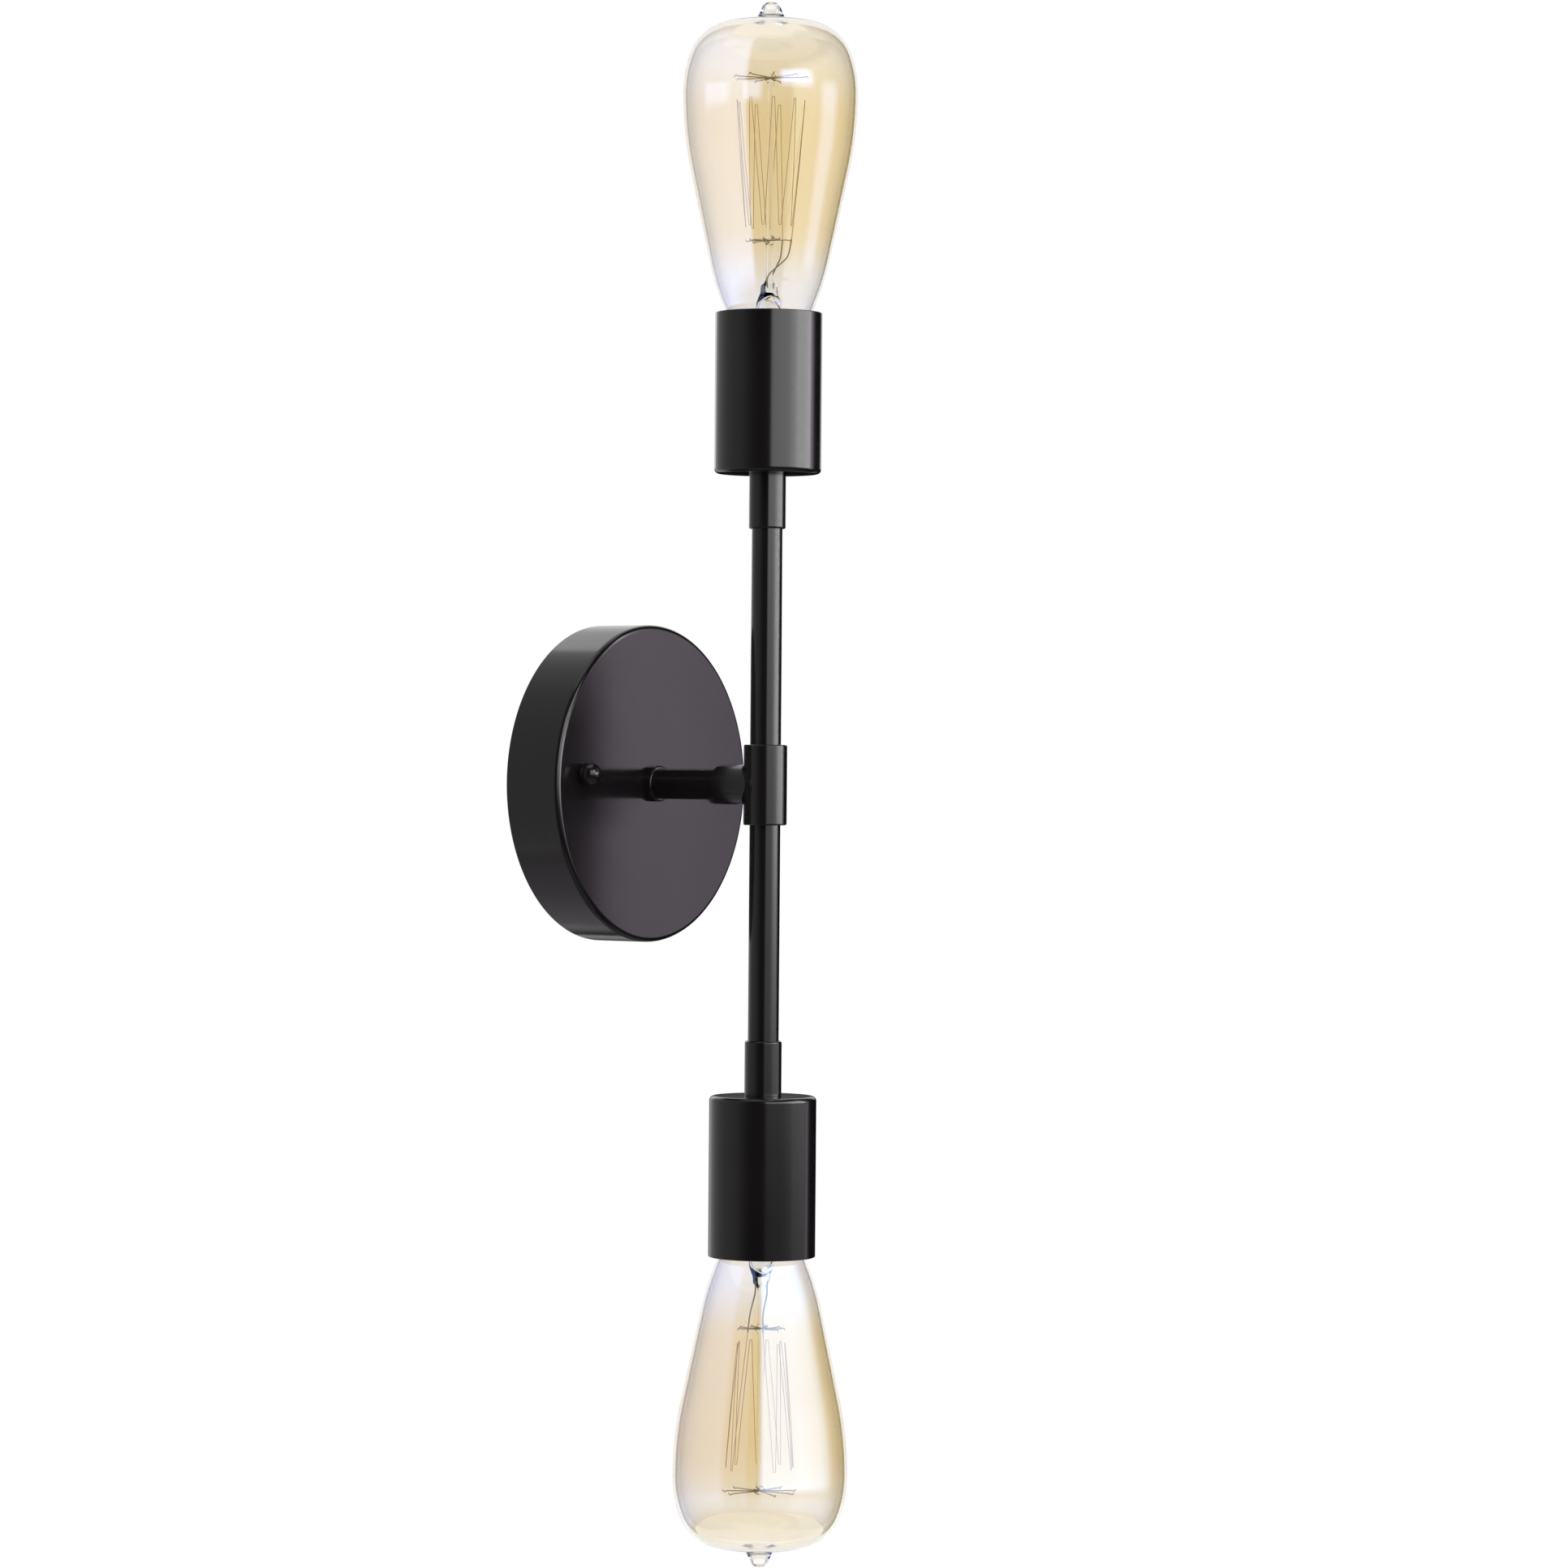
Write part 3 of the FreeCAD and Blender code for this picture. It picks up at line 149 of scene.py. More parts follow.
@dataclass(frozen=True)
class Surface:
    """Quads over a list of points, with texture coordinates for each corner.

    Args:
        points: one row for each point.
        faces: one row of four indices for each quad; a repeated index makes a triangle.
        uv: for each quad, four pairs from 0 to 1.
    """

    points: np.ndarray
    faces: np.ndarray
    uv: np.ndarray

    @classmethod
    def from_grid(cls, grid: np.ndarray, wrap_rows: bool = False, wrap_columns: bool = True) -> Surface:
        """Joins a grid of points into quads that face outwards.

        Args:
            grid: points in rows and columns. A row of equal points is a pole.
            wrap_rows: whether the last row joins the first.
            wrap_columns: whether the last column joins the first.

        Returns:
            The surface.
        """
        rows, columns = grid.shape[:2]
        index = np.arange(rows * columns).reshape(rows, columns)
        pole = np.ptp(grid, axis=1).max(axis=1) < POLE_SIZE
        index[pole] = index[pole, :1]
        low = np.arange(rows if wrap_rows else rows - 1)[:, None]
        left = np.arange(columns if wrap_columns else columns - 1)[None, :]
        high = (low + 1) % rows
        right = (left + 1) % columns
        faces = np.stack([index[low, left], index[low, right], index[high, right], index[high, left]], -1)
        u = np.broadcast_to(left / max(left.size, 1), faces.shape[:2])
        v = np.broadcast_to(low / max(low.size, 1), faces.shape[:2])
        du = 1 / max(left.size, 1)
        dv = 1 / max(low.size, 1)
        corners = [(u, v), (u + du, v), (u + du, v + dv), (u, v + dv)]
        uv = np.stack([np.stack(corner, -1) for corner in corners], -2)
        faces = faces.reshape(-1, 4)
        uv = uv.reshape(-1, 4, 2)
        points = grid.reshape(-1, 3)
        first, second, third, fourth = (points[faces[:, corner]] for corner in range(4))
        volume = np.einsum("ij,ij->i", first, np.cross(second, third) + np.cross(third, fourth)).sum()
        if volume < 0:
            faces = faces[:, ::-1]
            uv = uv[:, ::-1]
        return cls(points, faces, uv)

    @classmethod
    def joined(cls, surfaces: Sequence[Surface]) -> Surface:
        """Several surfaces as one.

        Args:
            surfaces: the surfaces, in any order.

        Returns:
            One surface with all their points and quads.
        """
        starts = np.cumsum([0] + [len(surface.points) for surface in surfaces])
        faces = [surface.faces + start for surface, start in zip(surfaces, starts)]
        return cls(
            np.concatenate([surface.points for surface in surfaces]),
            np.concatenate(faces),
            np.concatenate([surface.uv for surface in surfaces]),
        )

    def normals(self) -> np.ndarray:
        """Normal of each point, where a large face counts for more than a small one beside it."""
        corners = [self.points[self.faces[:, corner]] for corner in range(4)]
        face_normals = np.cross(corners[2] - corners[0], corners[3] - corners[1])
        total = np.zeros_like(self.points)
        for corner in range(4):
            np.add.at(total, self.faces[:, corner], face_normals)
        length = np.linalg.norm(total, axis=1, keepdims=True)
        return total / np.where(length > 0, length, 1)

    def mesh(self, name: str) -> bpy.types.Mesh:
        """Blender mesh of this surface.

        Args:
            name: name of the mesh.

        Returns:
            The mesh, smooth shaded with the weighted normals.
        """
        used, inverse = np.unique(self.faces, return_inverse=True)
        faces = inverse.reshape(-1, 4)
        points = self.points[used]
        real = faces != np.roll(faces, 1, axis=1)
        totals = real.sum(axis=1)
        mesh = bpy.data.meshes.new(name)
        mesh.vertices.add(len(points))
        mesh.vertices.foreach_set("co", points.astype(np.float32).ravel())
        mesh.loops.add(int(totals.sum()))
        mesh.loops.foreach_set("vertex_index", faces[real].astype(np.int32))
        mesh.polygons.add(len(faces))
        starts = np.concatenate([[0], np.cumsum(totals)[:-1]])
        mesh.polygons.foreach_set("loop_start", starts.astype(np.int32))
        mesh.polygons.foreach_set("use_smooth", np.ones(len(faces), bool))
        layer = mesh.uv_layers.new(name="UVMap")
        layer.data.foreach_set("uv", self.uv[real].astype(np.float32).ravel())
        mesh.update(calc_edges=True)
        mesh.validate()
        mesh.normals_split_custom_set_from_vertices(self.normals()[used].astype(np.float32).tolist())
        return mesh


def rounded(points: Sequence[Sequence[float]], rounds: Sequence[float], closed: bool = False,
            steps: int = 6) -> np.ndarray:
    """Polyline with an arc, tangent to both runs, at each corner that has a radius.

    Args:
        points: corners, in two or three dimensions.
        rounds: radius at each corner, or 0 for a sharp one.
        closed: whether the last corner joins the first.
        steps: pieces in each arc.

    Returns:
        The points of the rounded polyline.
    """
    corners = np.array(points, float)
    count = len(corners)
    made = []
    for index, size in enumerate(rounds):
        here = corners[index]
        at_end = not closed and index in (0, count - 1)
        if size == 0 or at_end:
            made.append(here)
            continue
        back = corners[index - 1] - here
        ahead = corners[(index + 1) % count] - here
        back /= np.linalg.norm(back)
        ahead /= np.linalg.norm(ahead)
        half = math.acos(max(-1.0, min(1.0, float(back @ ahead)))) / 2
        sweep = math.pi - 2 * half
        bisector = (back + ahead) / np.linalg.norm(back + ahead)
        middle = here + bisector * size / math.sin(half)
        start = here + back * size / math.tan(half) - middle
        end = here + ahead * size / math.tan(half) - middle
        for share in np.linspace(0, 1, steps + 1):
            mixed = start * math.sin((1 - share) * sweep) + end * math.sin(share * sweep)
            made.append(middle + mixed / math.sin(sweep))
    return np.array(made)


def outline(*corners: Triple, closed: bool = True, steps: int = 6) -> np.ndarray:
    """Outline of a turned piece, from the radius, height and edge round of each corner, in millimetres."""
    table = np.array(corners, float)
    return rounded(table[:, :2], table[:, 2], closed, steps)


def ring_outline(bore: float, radius: float, start: float, end: float, edge: float) -> np.ndarray:
    """Closed outline of a plain pipe between two heights, with an edge round outside, in millimetres."""
    return outline((bore, start, 0.1), (radius, start, edge), (radius, end, edge), (bore, end, 0.1))


def full_turn(columns: int) -> np.ndarray:
    """Even angles round a full turn."""
    return np.arange(columns) * FULL_TURN / columns


def turned(axis: Axis, rows: Sequence, columns: int | np.ndarray = SIDES_PLAIN,
           closed: bool = True) -> Surface:
    """Surface through rings round an axis: (r cos a, r sin a, h) for each angle a.

    Args:
        axis: the axis that it goes round.
        rows: radius and height of each ring in millimetres, each one number or one for each column.
        columns: number of columns in the full turn, or their angles.
        closed: whether the last ring joins the first.

    Returns:
        The surface.
    """
    angles = columns if isinstance(columns, np.ndarray) else full_turn(columns)
    table = np.array([[np.broadcast_to(value, len(angles)) for value in row] for row in rows])
    radius = table[:, 0]
    grid = np.stack([radius * np.cos(angles), radius * np.sin(angles), table[:, 1]], -1)
    return Surface.from_grid(axis.place(grid * MM), wrap_rows=closed)


def swept(path: np.ndarray, radius: float, sides: int = 8) -> Surface:
    """Round bar along a path, with closed ends. Its section keeps its place as it goes: each step
    takes the last one's side vector and makes it square to the new direction.

    Args:
        path: points of the middle line, in the row frame.
        radius: radius of the bar, in metres.
        sides: columns round the bar.

    Returns:
        The surface.
    """
    steps = np.diff(path, axis=0)
    steps /= np.linalg.norm(steps, axis=1, keepdims=True)
    heading = np.concatenate([steps[:1], steps[:-1] + steps[1:], steps[-1:]])
    heading /= np.linalg.norm(heading, axis=1, keepdims=True)
    side = np.cross(heading[0], np.eye(3)[np.argmin(np.abs(heading[0]))])
    angle = full_turn(sides)
    rings = []
    for point, direction in zip(path, heading):
        side = side - direction * (side @ direction)
        side /= np.linalg.norm(side)
        ring = np.outer(np.cos(angle), side) + np.outer(np.sin(angle), np.cross(direction, side))
        rings.append(point + radius * ring)
    first = np.broadcast_to(path[0], rings[0].shape)
    last = np.broadcast_to(path[-1], rings[0].shape)
    return Surface.from_grid(np.stack([first, *rings, last]))


def hexagon_nut(axis: Axis, flats: float, start: float, end: float, bore: float) -> Surface:
    """Nut whose radius at each angle is the least of a hexagon's and of a chamfer cone at each end.

    Args:
        axis: the axis that it sits on.
        flats: width across the flats, in millimetres.
        start: lower height.
        end: upper height.
        bore: radius of its hole.

    Returns:
        The surface.
    """
    flat = FULL_TURN / 6
    near_corner = 0.02
    one = np.append(0.0, np.linspace(near_corner, flat - near_corner, 10))
    angles = np.concatenate([one + index * flat for index in range(6)])
    apothem = flats / 2
    face = apothem * 0.96
    slope = 1.9
    chamfer = (end - start) * 0.16
    hexagon = apothem / np.cos(angles % flat - flat / 2)
    cones = []
    for rise in chamfer * np.array((0.02, 0.5, 1)):
        cones.append((np.minimum(hexagon, apothem * 0.98 + rise * slope), rise))
    rows = [(bore, start), (face, start)]
    rows += [(radius, start + rise) for radius, rise in cones]
    rows += [(radius, end - rise) for radius, rise in cones[::-1]]
    rows += [(face, end), (bore, end)]
    return turned(axis, rows, angles)


def machine_thread(axis: Axis, radius: float, depth: float, pitch: float, start: float, end: float,
                   bore: float = 0.0) -> Surface:
    """Outside thread: the radius is crest - depth * ridge(h / pitch - a / full turn), a triangle wave
    that climbs one pitch in a full turn, and narrows at both ends.

    Args:
        axis: the axis that it sits on.
        radius: crest radius in millimetres.
        depth: depth of the groove.
        pitch: height of one turn.
        start: lower height.
        end: upper height.
        bore: radius of a hole right through, or 0.

    Returns:
        The surface.
    """
    angles = full_turn(36)
    heights = np.linspace(start, end, int(6 * (end - start) / pitch) + 1)
    phase = (heights[:, None] / pitch - angles / FULL_TURN) % 1
    lead_in = np.clip(1 - np.minimum(heights - start, end - heights) / pitch, 0, 1)
    wall = radius - depth * (np.abs(2 * phase - 1) + 0.8 * lead_in[:, None])
    return turned(axis, [(bore, start), *zip(wall, heights), (bore, end)], angles, closed=bore > 0)


def lamp_thread(columns: int, heights: np.ndarray) -> np.ndarray:
    """Round thread of the lamp screw: a cosine that climbs one pitch in a full turn, from -1 to 1."""
    return np.cos(FULL_TURN * heights[:, None] / BULB_PITCH - full_turn(columns))


def add_object(name: str, data: bpy.types.ID) -> bpy.types.Object:
    """Object with a name and data, in the scene."""
    made = bpy.data.objects.new(name, data)
    bpy.context.scene.collection.objects.link(made)
    return made


# shader tools


class Graph:
    """Short way to write a node tree."""

    def __init__(self, tree: bpy.types.NodeTree) -> None:
        """Graph of one node tree."""
        self.tree = tree

    def add(self, kind: str, inputs: dict[str | int, object] | None = None, **settings: object) -> Node:
        """Adds a node.

        Args:
            kind: the node's type, without its first part.
            inputs: value or output socket for each input, by name or index.
            settings: properties of the node.

        Returns:
            The node.
        """
        node = self.tree.nodes.new("ShaderNode" + kind)
        for name, value in settings.items():
            setattr(node, name, value)
        for name, value in (inputs or {}).items():
            self.set(node, name, value)
        return node

    def set(self, node: Node, name: str | int, value: object) -> None:
        """Gives one input of a node a value or a link.

        Args:
            node: the node.
            name: name or index of its input.
            value: a value, or another node's output.
        """
        socket = node.inputs[name]
        if isinstance(value, Socket):
            self.tree.links.new(value, socket)
        elif isinstance(value, (tuple, list)) and len(value) == 3 and socket.type == "RGBA":
            socket.default_value = (*value, 1)
        else:
            socket.default_value = value

    def math(self, operation: str, *values: object) -> Socket:
        """Result of a math node on its inputs, in order."""
        return self.add("Math", dict(enumerate(values)), operation=operation).outputs[0]

    def noise(self, vector: object, scale: object, detail: float) -> Socket:
        """Noise value from 0 to 1, with scale blobs in a metre and some finer layers of detail."""
        return self.add("TexNoise", {"Vector": vector, "Scale": scale, "Detail": detail}).outputs[0]

    def mix(self, share: object, first: object, second: object) -> Socket:
        """Colour between two colours, the first at share 0."""
        return self.add("Mix", {0: share, 6: first, 7: second}, data_type="RGBA").outputs[2]

    def either(self, share: object, first: Node, second: Node) -> Socket:
        """Shader between the shaders of two nodes, the first at share 0."""
        return self.add("MixShader", {0: share, 1: first.outputs[0], 2: second.outputs[0]}).outputs[0]

    def place(self, kind: str) -> Socket:
        """Texture coordinates of one kind, such as Object or UV."""
        return self.add("TexCoord").outputs[kind]

    def ramp(self, value: object, stops: Sequence[tuple[float, object]]) -> Socket:
        """Colour that follows a value from stop to stop.

        Args:
            value: 0 at the first stop and 1 at the last.
            stops: place and colour, or place and grey, in rising order.

        Returns:
            The colour's output.
        """
        node = self.add("ValToRGB", {"Fac": value})
        elements = node.color_ramp.elements
        while len(elements) < len(stops):
            elements.new(1.0)
        first = stops[0][0]
        last = stops[-1][0]
        for element, (place, colour) in zip(elements, stops):
            element.position = (place - first) / (last - first)
            element.color = (*np.broadcast_to(colour, 3), 1)
        return node.outputs["Color"]

    def share(self, value: object, low: float, high: float, start: float = 0, end: float = 1) -> Socket:
        """Value moved from the range low to high into the range start to end, and held inside it."""
        return self.add("MapRange", dict(enumerate((value, low, high, start, end))), clamp=True).outputs[0]

    def curve(self, share: object, stops: Sequence[Pair]) -> Socket:
        """Value that follows stops of place and value, from the first at share 0 to the last at 1."""
        peak = max(value for _, value in stops)
        return self.math("MULTIPLY", self.ramp(share, [(at, value / peak) for at, value in stops]), peak)

    def seen_directly(self) -> Socket:
        """1 for what the camera sees, straight or in metal and glass."""
        light = self.add("LightPath").outputs
        mirrored = self.math("MAXIMUM", light["Is Glossy Ray"], light["Is Transmission Ray"])
        return self.math("MAXIMUM", light["Is Camera Ray"], mirrored)


def new_material(name: str) -> tuple[bpy.types.Material, Graph]:
    """Material with nodes, and the graph that writes them."""
    material = bpy.data.materials.new(name)
    material.use_nodes = True
    return material, Graph(material.node_tree)


def new_group(name: str, inputs: dict[str, object], outputs: dict[str, str],
              build: Callable[[Graph, Sequence[Socket]], Sequence[Socket]]) -> bpy.types.NodeTree:
    """Shader node group with named sockets.

    Args:
        name: name of the group.
        inputs: default of each input: a number, a colour, or None for a vector.
        outputs: kind of each output.
        build: takes the graph and the input sockets, adds the nodes and returns what goes to each output.

    Returns:
        The group.
    """
    tree = bpy.data.node_groups.new(name, "ShaderNodeTree")
    for label, value in inputs.items():
        kind = {float: "Float", tuple: "Color"}.get(type(value), "Vector")
        socket = tree.interface.new_socket(label, in_out="INPUT", socket_type="NodeSocket" + kind)
        if value is not None:
            socket.default_value = value
    for label, kind in outputs.items():
        tree.interface.new_socket(label, in_out="OUTPUT", socket_type="NodeSocket" + kind)
    graph = Graph(tree)
    results = build(graph, tree.nodes.new("NodeGroupInput").outputs[:len(inputs)])
    end = tree.nodes.new("NodeGroupOutput")
    for label, socket in zip(outputs, results):
        graph.set(end, label, socket)
    return tree


def grain_group() -> bpy.types.NodeTree:
    """Fine unevenness of a surface: a normal, and a value that drifts slowly from 0 to 1."""

    def build(graph: Graph, given: Sequence[Socket]) -> Sequence[Socket]:
        """Bump from fine noise, and a drift from noise of a thirtieth of its scale."""
        vector, scale, depth = given
        fine = graph.noise(vector, scale, 2.0)
        slow = graph.noise(vector, graph.math("MULTIPLY", scale, 0.03), 3.0)
        bump = graph.add("Bump", {"Height": fine, "Distance": depth})
        return bump.outputs[0], graph.share(slow, 0.3, 0.7)

    inputs = {"Vector": None, "Scale": 900.0, "Depth": 0.00001}
    return new_group("surface_grain", inputs, {"Normal": "Vector", "Drift": "Float"}, build)


def two_tones_group() -> bpy.types.NodeTree:
    """Colour that drifts between two tones, with small specks of a third."""

    def build(graph: Graph, given: Sequence[Socket]) -> Sequence[Socket]:
        """The two tones mixed by the drift, with a speck in the middle of each cell."""
        vector, drift, first, second, specks, speck_colour = given
        cells = graph.add("TexVoronoi", {"Vector": vector, "Scale": 2200.0})
        near = graph.math("LESS_THAN", cells.outputs["Distance"], 0.16)
        speck = graph.math("MULTIPLY", near, specks)
        return (graph.mix(speck, graph.mix(drift, first, second), speck_colour),)

    grey = (0.5, 0.5, 0.5, 1)
    inputs = {
        "Vector": None, "Drift": 0.5, "First": grey, "Second": grey, "Specks": 0.0, "Speck colour": grey,
    }
    return new_group("two_tones", inputs, {"Colour": "Color"}, build)


# finishes


class Slot(Enum):
    """Material slots of the record."""

    BLACK = "satin_black"
    PLATED = "plated_steel"
    EARTH = "earth_green"
    BRASS = "brass"
    LEAD_BLACK = "lead_black"
    LEAD_WHITE = "lead_white"
    LEAD_GREEN = "lead_green"
    SPLICE = "splice_yellow"
    HOLDER = "holder_black"
    AMBER = "amber_glass"
    STEM = "stem_glass"
    INSULATOR = "black_glass"
    BULB_CAP = "bulb_cap_metal"
    SOLDER = "solder"
    SUPPORT = "support_wire"
    FILAMENT = "filament_wire"


@dataclass(frozen=True)
class SolidFinish:
    """Opaque finish, from plated metal to moulded plastic.

    Args:
        first: one tone of the colour.
        second: the tone that it drifts to.
        metallic: 1 for bare metal, 0 for paint and plastic.
        roughness: lowest and highest roughness.
        grain_scale: bumps in a metre.
        grain_depth: height of a bump, in metres.
        specks: how strongly specks show.
        speck_colour: their colour.
        refraction: refractive index of the surface.
    """

    first: Triple
    second: Triple
    metallic: float
    roughness: Pair
    grain_scale: float = 900.0
    grain_depth: float = 0.00001
    specks: float = 0.0
    speck_colour: Triple = (0.5, 0.5, 0.5)
    refraction: float = 1.5


@dataclass(frozen=True)
class GlassFinish:
    """Clear glass with a coat of colour inside it.

    Args:
        stops: height above the bar's middle, in metres, and colour of one wall there.
        grain_scale: waves in a metre.
        grain_depth: height of a wave, in metres.
        refraction: refractive index.
    """

    stops: tuple[tuple[float, Triple], ...]
    grain_scale: float = 60.0
    grain_depth: float = 0.00002
    refraction: float = 1.5


FINISHES: dict[Slot, SolidFinish | GlassFinish] = {
    Slot.BLACK: SolidFinish(
        (0.0068, 0.0058, 0.0065), (0.0084, 0.007, 0.0079), 0.0, (0.13, 0.16), 1400.0, 0.0000008, 0.03,
        (0.03, 0.03, 0.03),
    ),
    Slot.PLATED: SolidFinish((0.56, 0.56, 0.54), (0.66, 0.65, 0.62), 1.0, (0.26, 0.4), 1600.0, 0.000004),
    Slot.EARTH: SolidFinish((0.05, 0.27, 0.1), (0.1, 0.35, 0.14), 0.6, (0.3, 0.42), 1500.0, 0.000004),
    Slot.BRASS: SolidFinish((0.7, 0.52, 0.24), (0.76, 0.6, 0.32), 1.0, (0.24, 0.36), 1500.0, 0.000004),
    Slot.LEAD_BLACK: SolidFinish((0.014, 0.014, 0.015), (0.024, 0.024, 0.025), 0.0, (0.42, 0.52)),
    Slot.LEAD_WHITE: SolidFinish((0.76, 0.75, 0.7), (0.84, 0.83, 0.79), 0.0, (0.4, 0.5)),
    Slot.LEAD_GREEN: SolidFinish((0.03, 0.26, 0.09), (0.05, 0.34, 0.12), 0.0, (0.4, 0.5)),
    Slot.SPLICE: SolidFinish((0.84, 0.6, 0.07), (0.88, 0.67, 0.1), 0.0, (0.42, 0.52)),
    Slot.HOLDER: SolidFinish(
        (0.022, 0.019, 0.018), (0.034, 0.028, 0.026), 0.0, (0.3, 0.42), 1200.0, 0.000006, 0.15,
        (0.09, 0.07, 0.06),
    ),
    Slot.AMBER: GlassFinish((
        (0.172, (0.96, 0.935, 0.92)),
        (0.188, (0.95, 0.91, 0.855)),
        (0.205, (0.935, 0.83, 0.62)),
        (0.25, (0.93, 0.81, 0.57)),
        (0.275, (0.95, 0.89, 0.77)),
        (0.288, (0.98, 0.965, 0.93)),
    )),
    Slot.STEM: GlassFinish(((0.15, (0.97, 0.975, 0.97)), (0.29, (0.97, 0.975, 0.97))), 240.0, 0.00002, 1.3),
    Slot.INSULATOR: SolidFinish((0.012, 0.011, 0.016), (0.02, 0.018, 0.026), 0.0, (0.08, 0.14)),
    Slot.BULB_CAP: SolidFinish((0.74, 0.73, 0.7), (0.83, 0.82, 0.79), 1.0, (0.2, 0.3), 1500.0, 0.000004),
    Slot.SOLDER: SolidFinish((0.55, 0.55, 0.56), (0.66, 0.66, 0.66), 1.0, (0.35, 0.5), 2600.0, 0.00002),
    Slot.SUPPORT: SolidFinish((0.56, 0.48, 0.34), (0.64, 0.56, 0.42), 0.15, (0.3, 0.4), 4000.0, 0.000002),
    Slot.FILAMENT: SolidFinish((0.72, 0.55, 0.32), (0.8, 0.63, 0.38), 0.0, (0.34, 0.45), 8000.0, 0.000004),
}


class FinishShop:
    """Makes each finish once and hands it out by its slot."""

    def __init__(self) -> None:
        """Makes the two groups that the finishes share."""
        self.grain = grain_group()
        self.two_tones = two_tones_group()
        self.made: dict[Slot, bpy.types.Material] = {}

    def get(self, slot: Slot) -> bpy.types.Material:
        """Material of a slot.

        Args:
            slot: which one.

        Returns:
            The Blender material.
        """
        if slot not in self.made:
            self.made[slot] = self.make(slot.value + "_finish", FINISHES[slot])
            LOG.info("finish %s", slot.value)
        return self.made[slot]

    def make(self, name: str, finish: SolidFinish | GlassFinish) -> bpy.types.Material:
        """Makes a material.

        Args:
            name: its name.
            finish: what it looks like.

        Returns:
            The Blender material.
        """
        material, graph = new_material(name)
        place = graph.place("Object")
        wave = {"Vector": place, "Scale": finish.grain_scale, "Depth": finish.grain_depth}
        grain = graph.add("Group", wave, node_tree=self.grain)
        looks = {"Normal": grain.outputs["Normal"], "IOR": finish.refraction}
        if isinstance(finish, GlassFinish):
            height = graph.math("ABSOLUTE", graph.add("SeparateXYZ", {0: place}).outputs["Z"])
            share = graph.share(height, finish.stops[0][0], finish.stops[-1][0])
            looks["Base Color"] = graph.ramp(share, finish.stops)
            looks["Roughness"] = 0.0
            looks["Transmission Weight"] = 1.0
        else:
            drift = grain.outputs["Drift"]
            tones = {
                "Vector": place, "Drift": drift, "First": finish.first, "Second": finish.second,
                "Specks": finish.specks, "Speck colour": finish.speck_colour,
            }
            looks["Base Color"] = graph.add("Group", tones, node_tree=self.two_tones).outputs["Colour"]
            looks["Roughness"] = graph.share(drift, 0, 1, *finish.roughness)
            looks["Metallic"] = finish.metallic
        shader = graph.tree.nodes["Principled BSDF"]
        for label, value in looks.items():
            graph.set(shader, label, value)
        return material


# what all sub-assemblies share


@dataclass(frozen=True)
class Workshop:
    """Puts finished pieces into the scene.

    Args:
        finishes: the shop that materials come from.
        prefix: what the names of its pieces and of their nodes begin with.
        body: the CAD body that its pieces move with.
    """

    frame: dict
    finishes: FinishShop = field(default_factory=FinishShop)
    prefix: str = ""
    body: str = "fixture"

    def show(self, name: str, surface: Surface, slot: Slot, node: str) -> None:
        """Adds a piece, in its place in the row frame.

        Args:
            name: name of the piece, without the prefix.
            surface: its shape.
            slot: its material.
            node: the CAD node that it stands for, without the prefix.
        """
        piece = add_object(self.prefix + name, surface.mesh(self.prefix + name))
        piece.data.materials.append(self.finishes.get(slot))
        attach(piece, self.body)
        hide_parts(self.prefix + node)
        LOG.info("piece %s, %d faces, with %s", piece.name, len(surface.faces), self.body)

    def dress_nodes(self) -> None:
        """Gives each CAD node that still shows the material of its own slot."""
        for row in self.frame["record"]["subparts"]:
            node = self.frame["nodes"][row["node"]]
            if node.hide_render:
                continue
            node.data.materials.clear()
            node.data.materials.append(self.finishes.get(Slot(row["material_slot"])))
            LOG.info("node %s in %s", node.name, row["material_slot"])


def measures(node: str, part: int) -> Triple:
    """Reach of a CAD node in x, and its nearest and furthest in y (part 1) or z (part 2), in millimetres."""
    low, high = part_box(node)
    return high.x / MM, *(edge / MM for edge in sorted((abs(low[part]), abs(high[part]))))


WALL_AXIS = Axis((0.0, 0.0, 0.0), (0.0, -1.0, 0.0), (1.0, 0.0, 0.0))


@dataclass(frozen=True)
class Side:
    """One of the two ends of the bar.

    Args:
        name: upper or lower.
        axis: the bar's axis from its middle outwards.
    """

    name: str
    axis: Axis


def make_sides() -> list[Side]:
    """The upper and the lower end, on the axis that the tubes' own boxes give."""
    low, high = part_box("upper_tube")
    middle = (0.0, (low.y + high.y) / 2, 0.0)
    return [
        Side("upper", Axis(middle, (0.0, 0.0, 1.0), (1.0, 0.0, 0.0))),
        Side("lower", Axis(middle, (0.0, 0.0, -1.0), (-1.0, 0.0, 0.0))),
    ]


# canopy and what is inside it


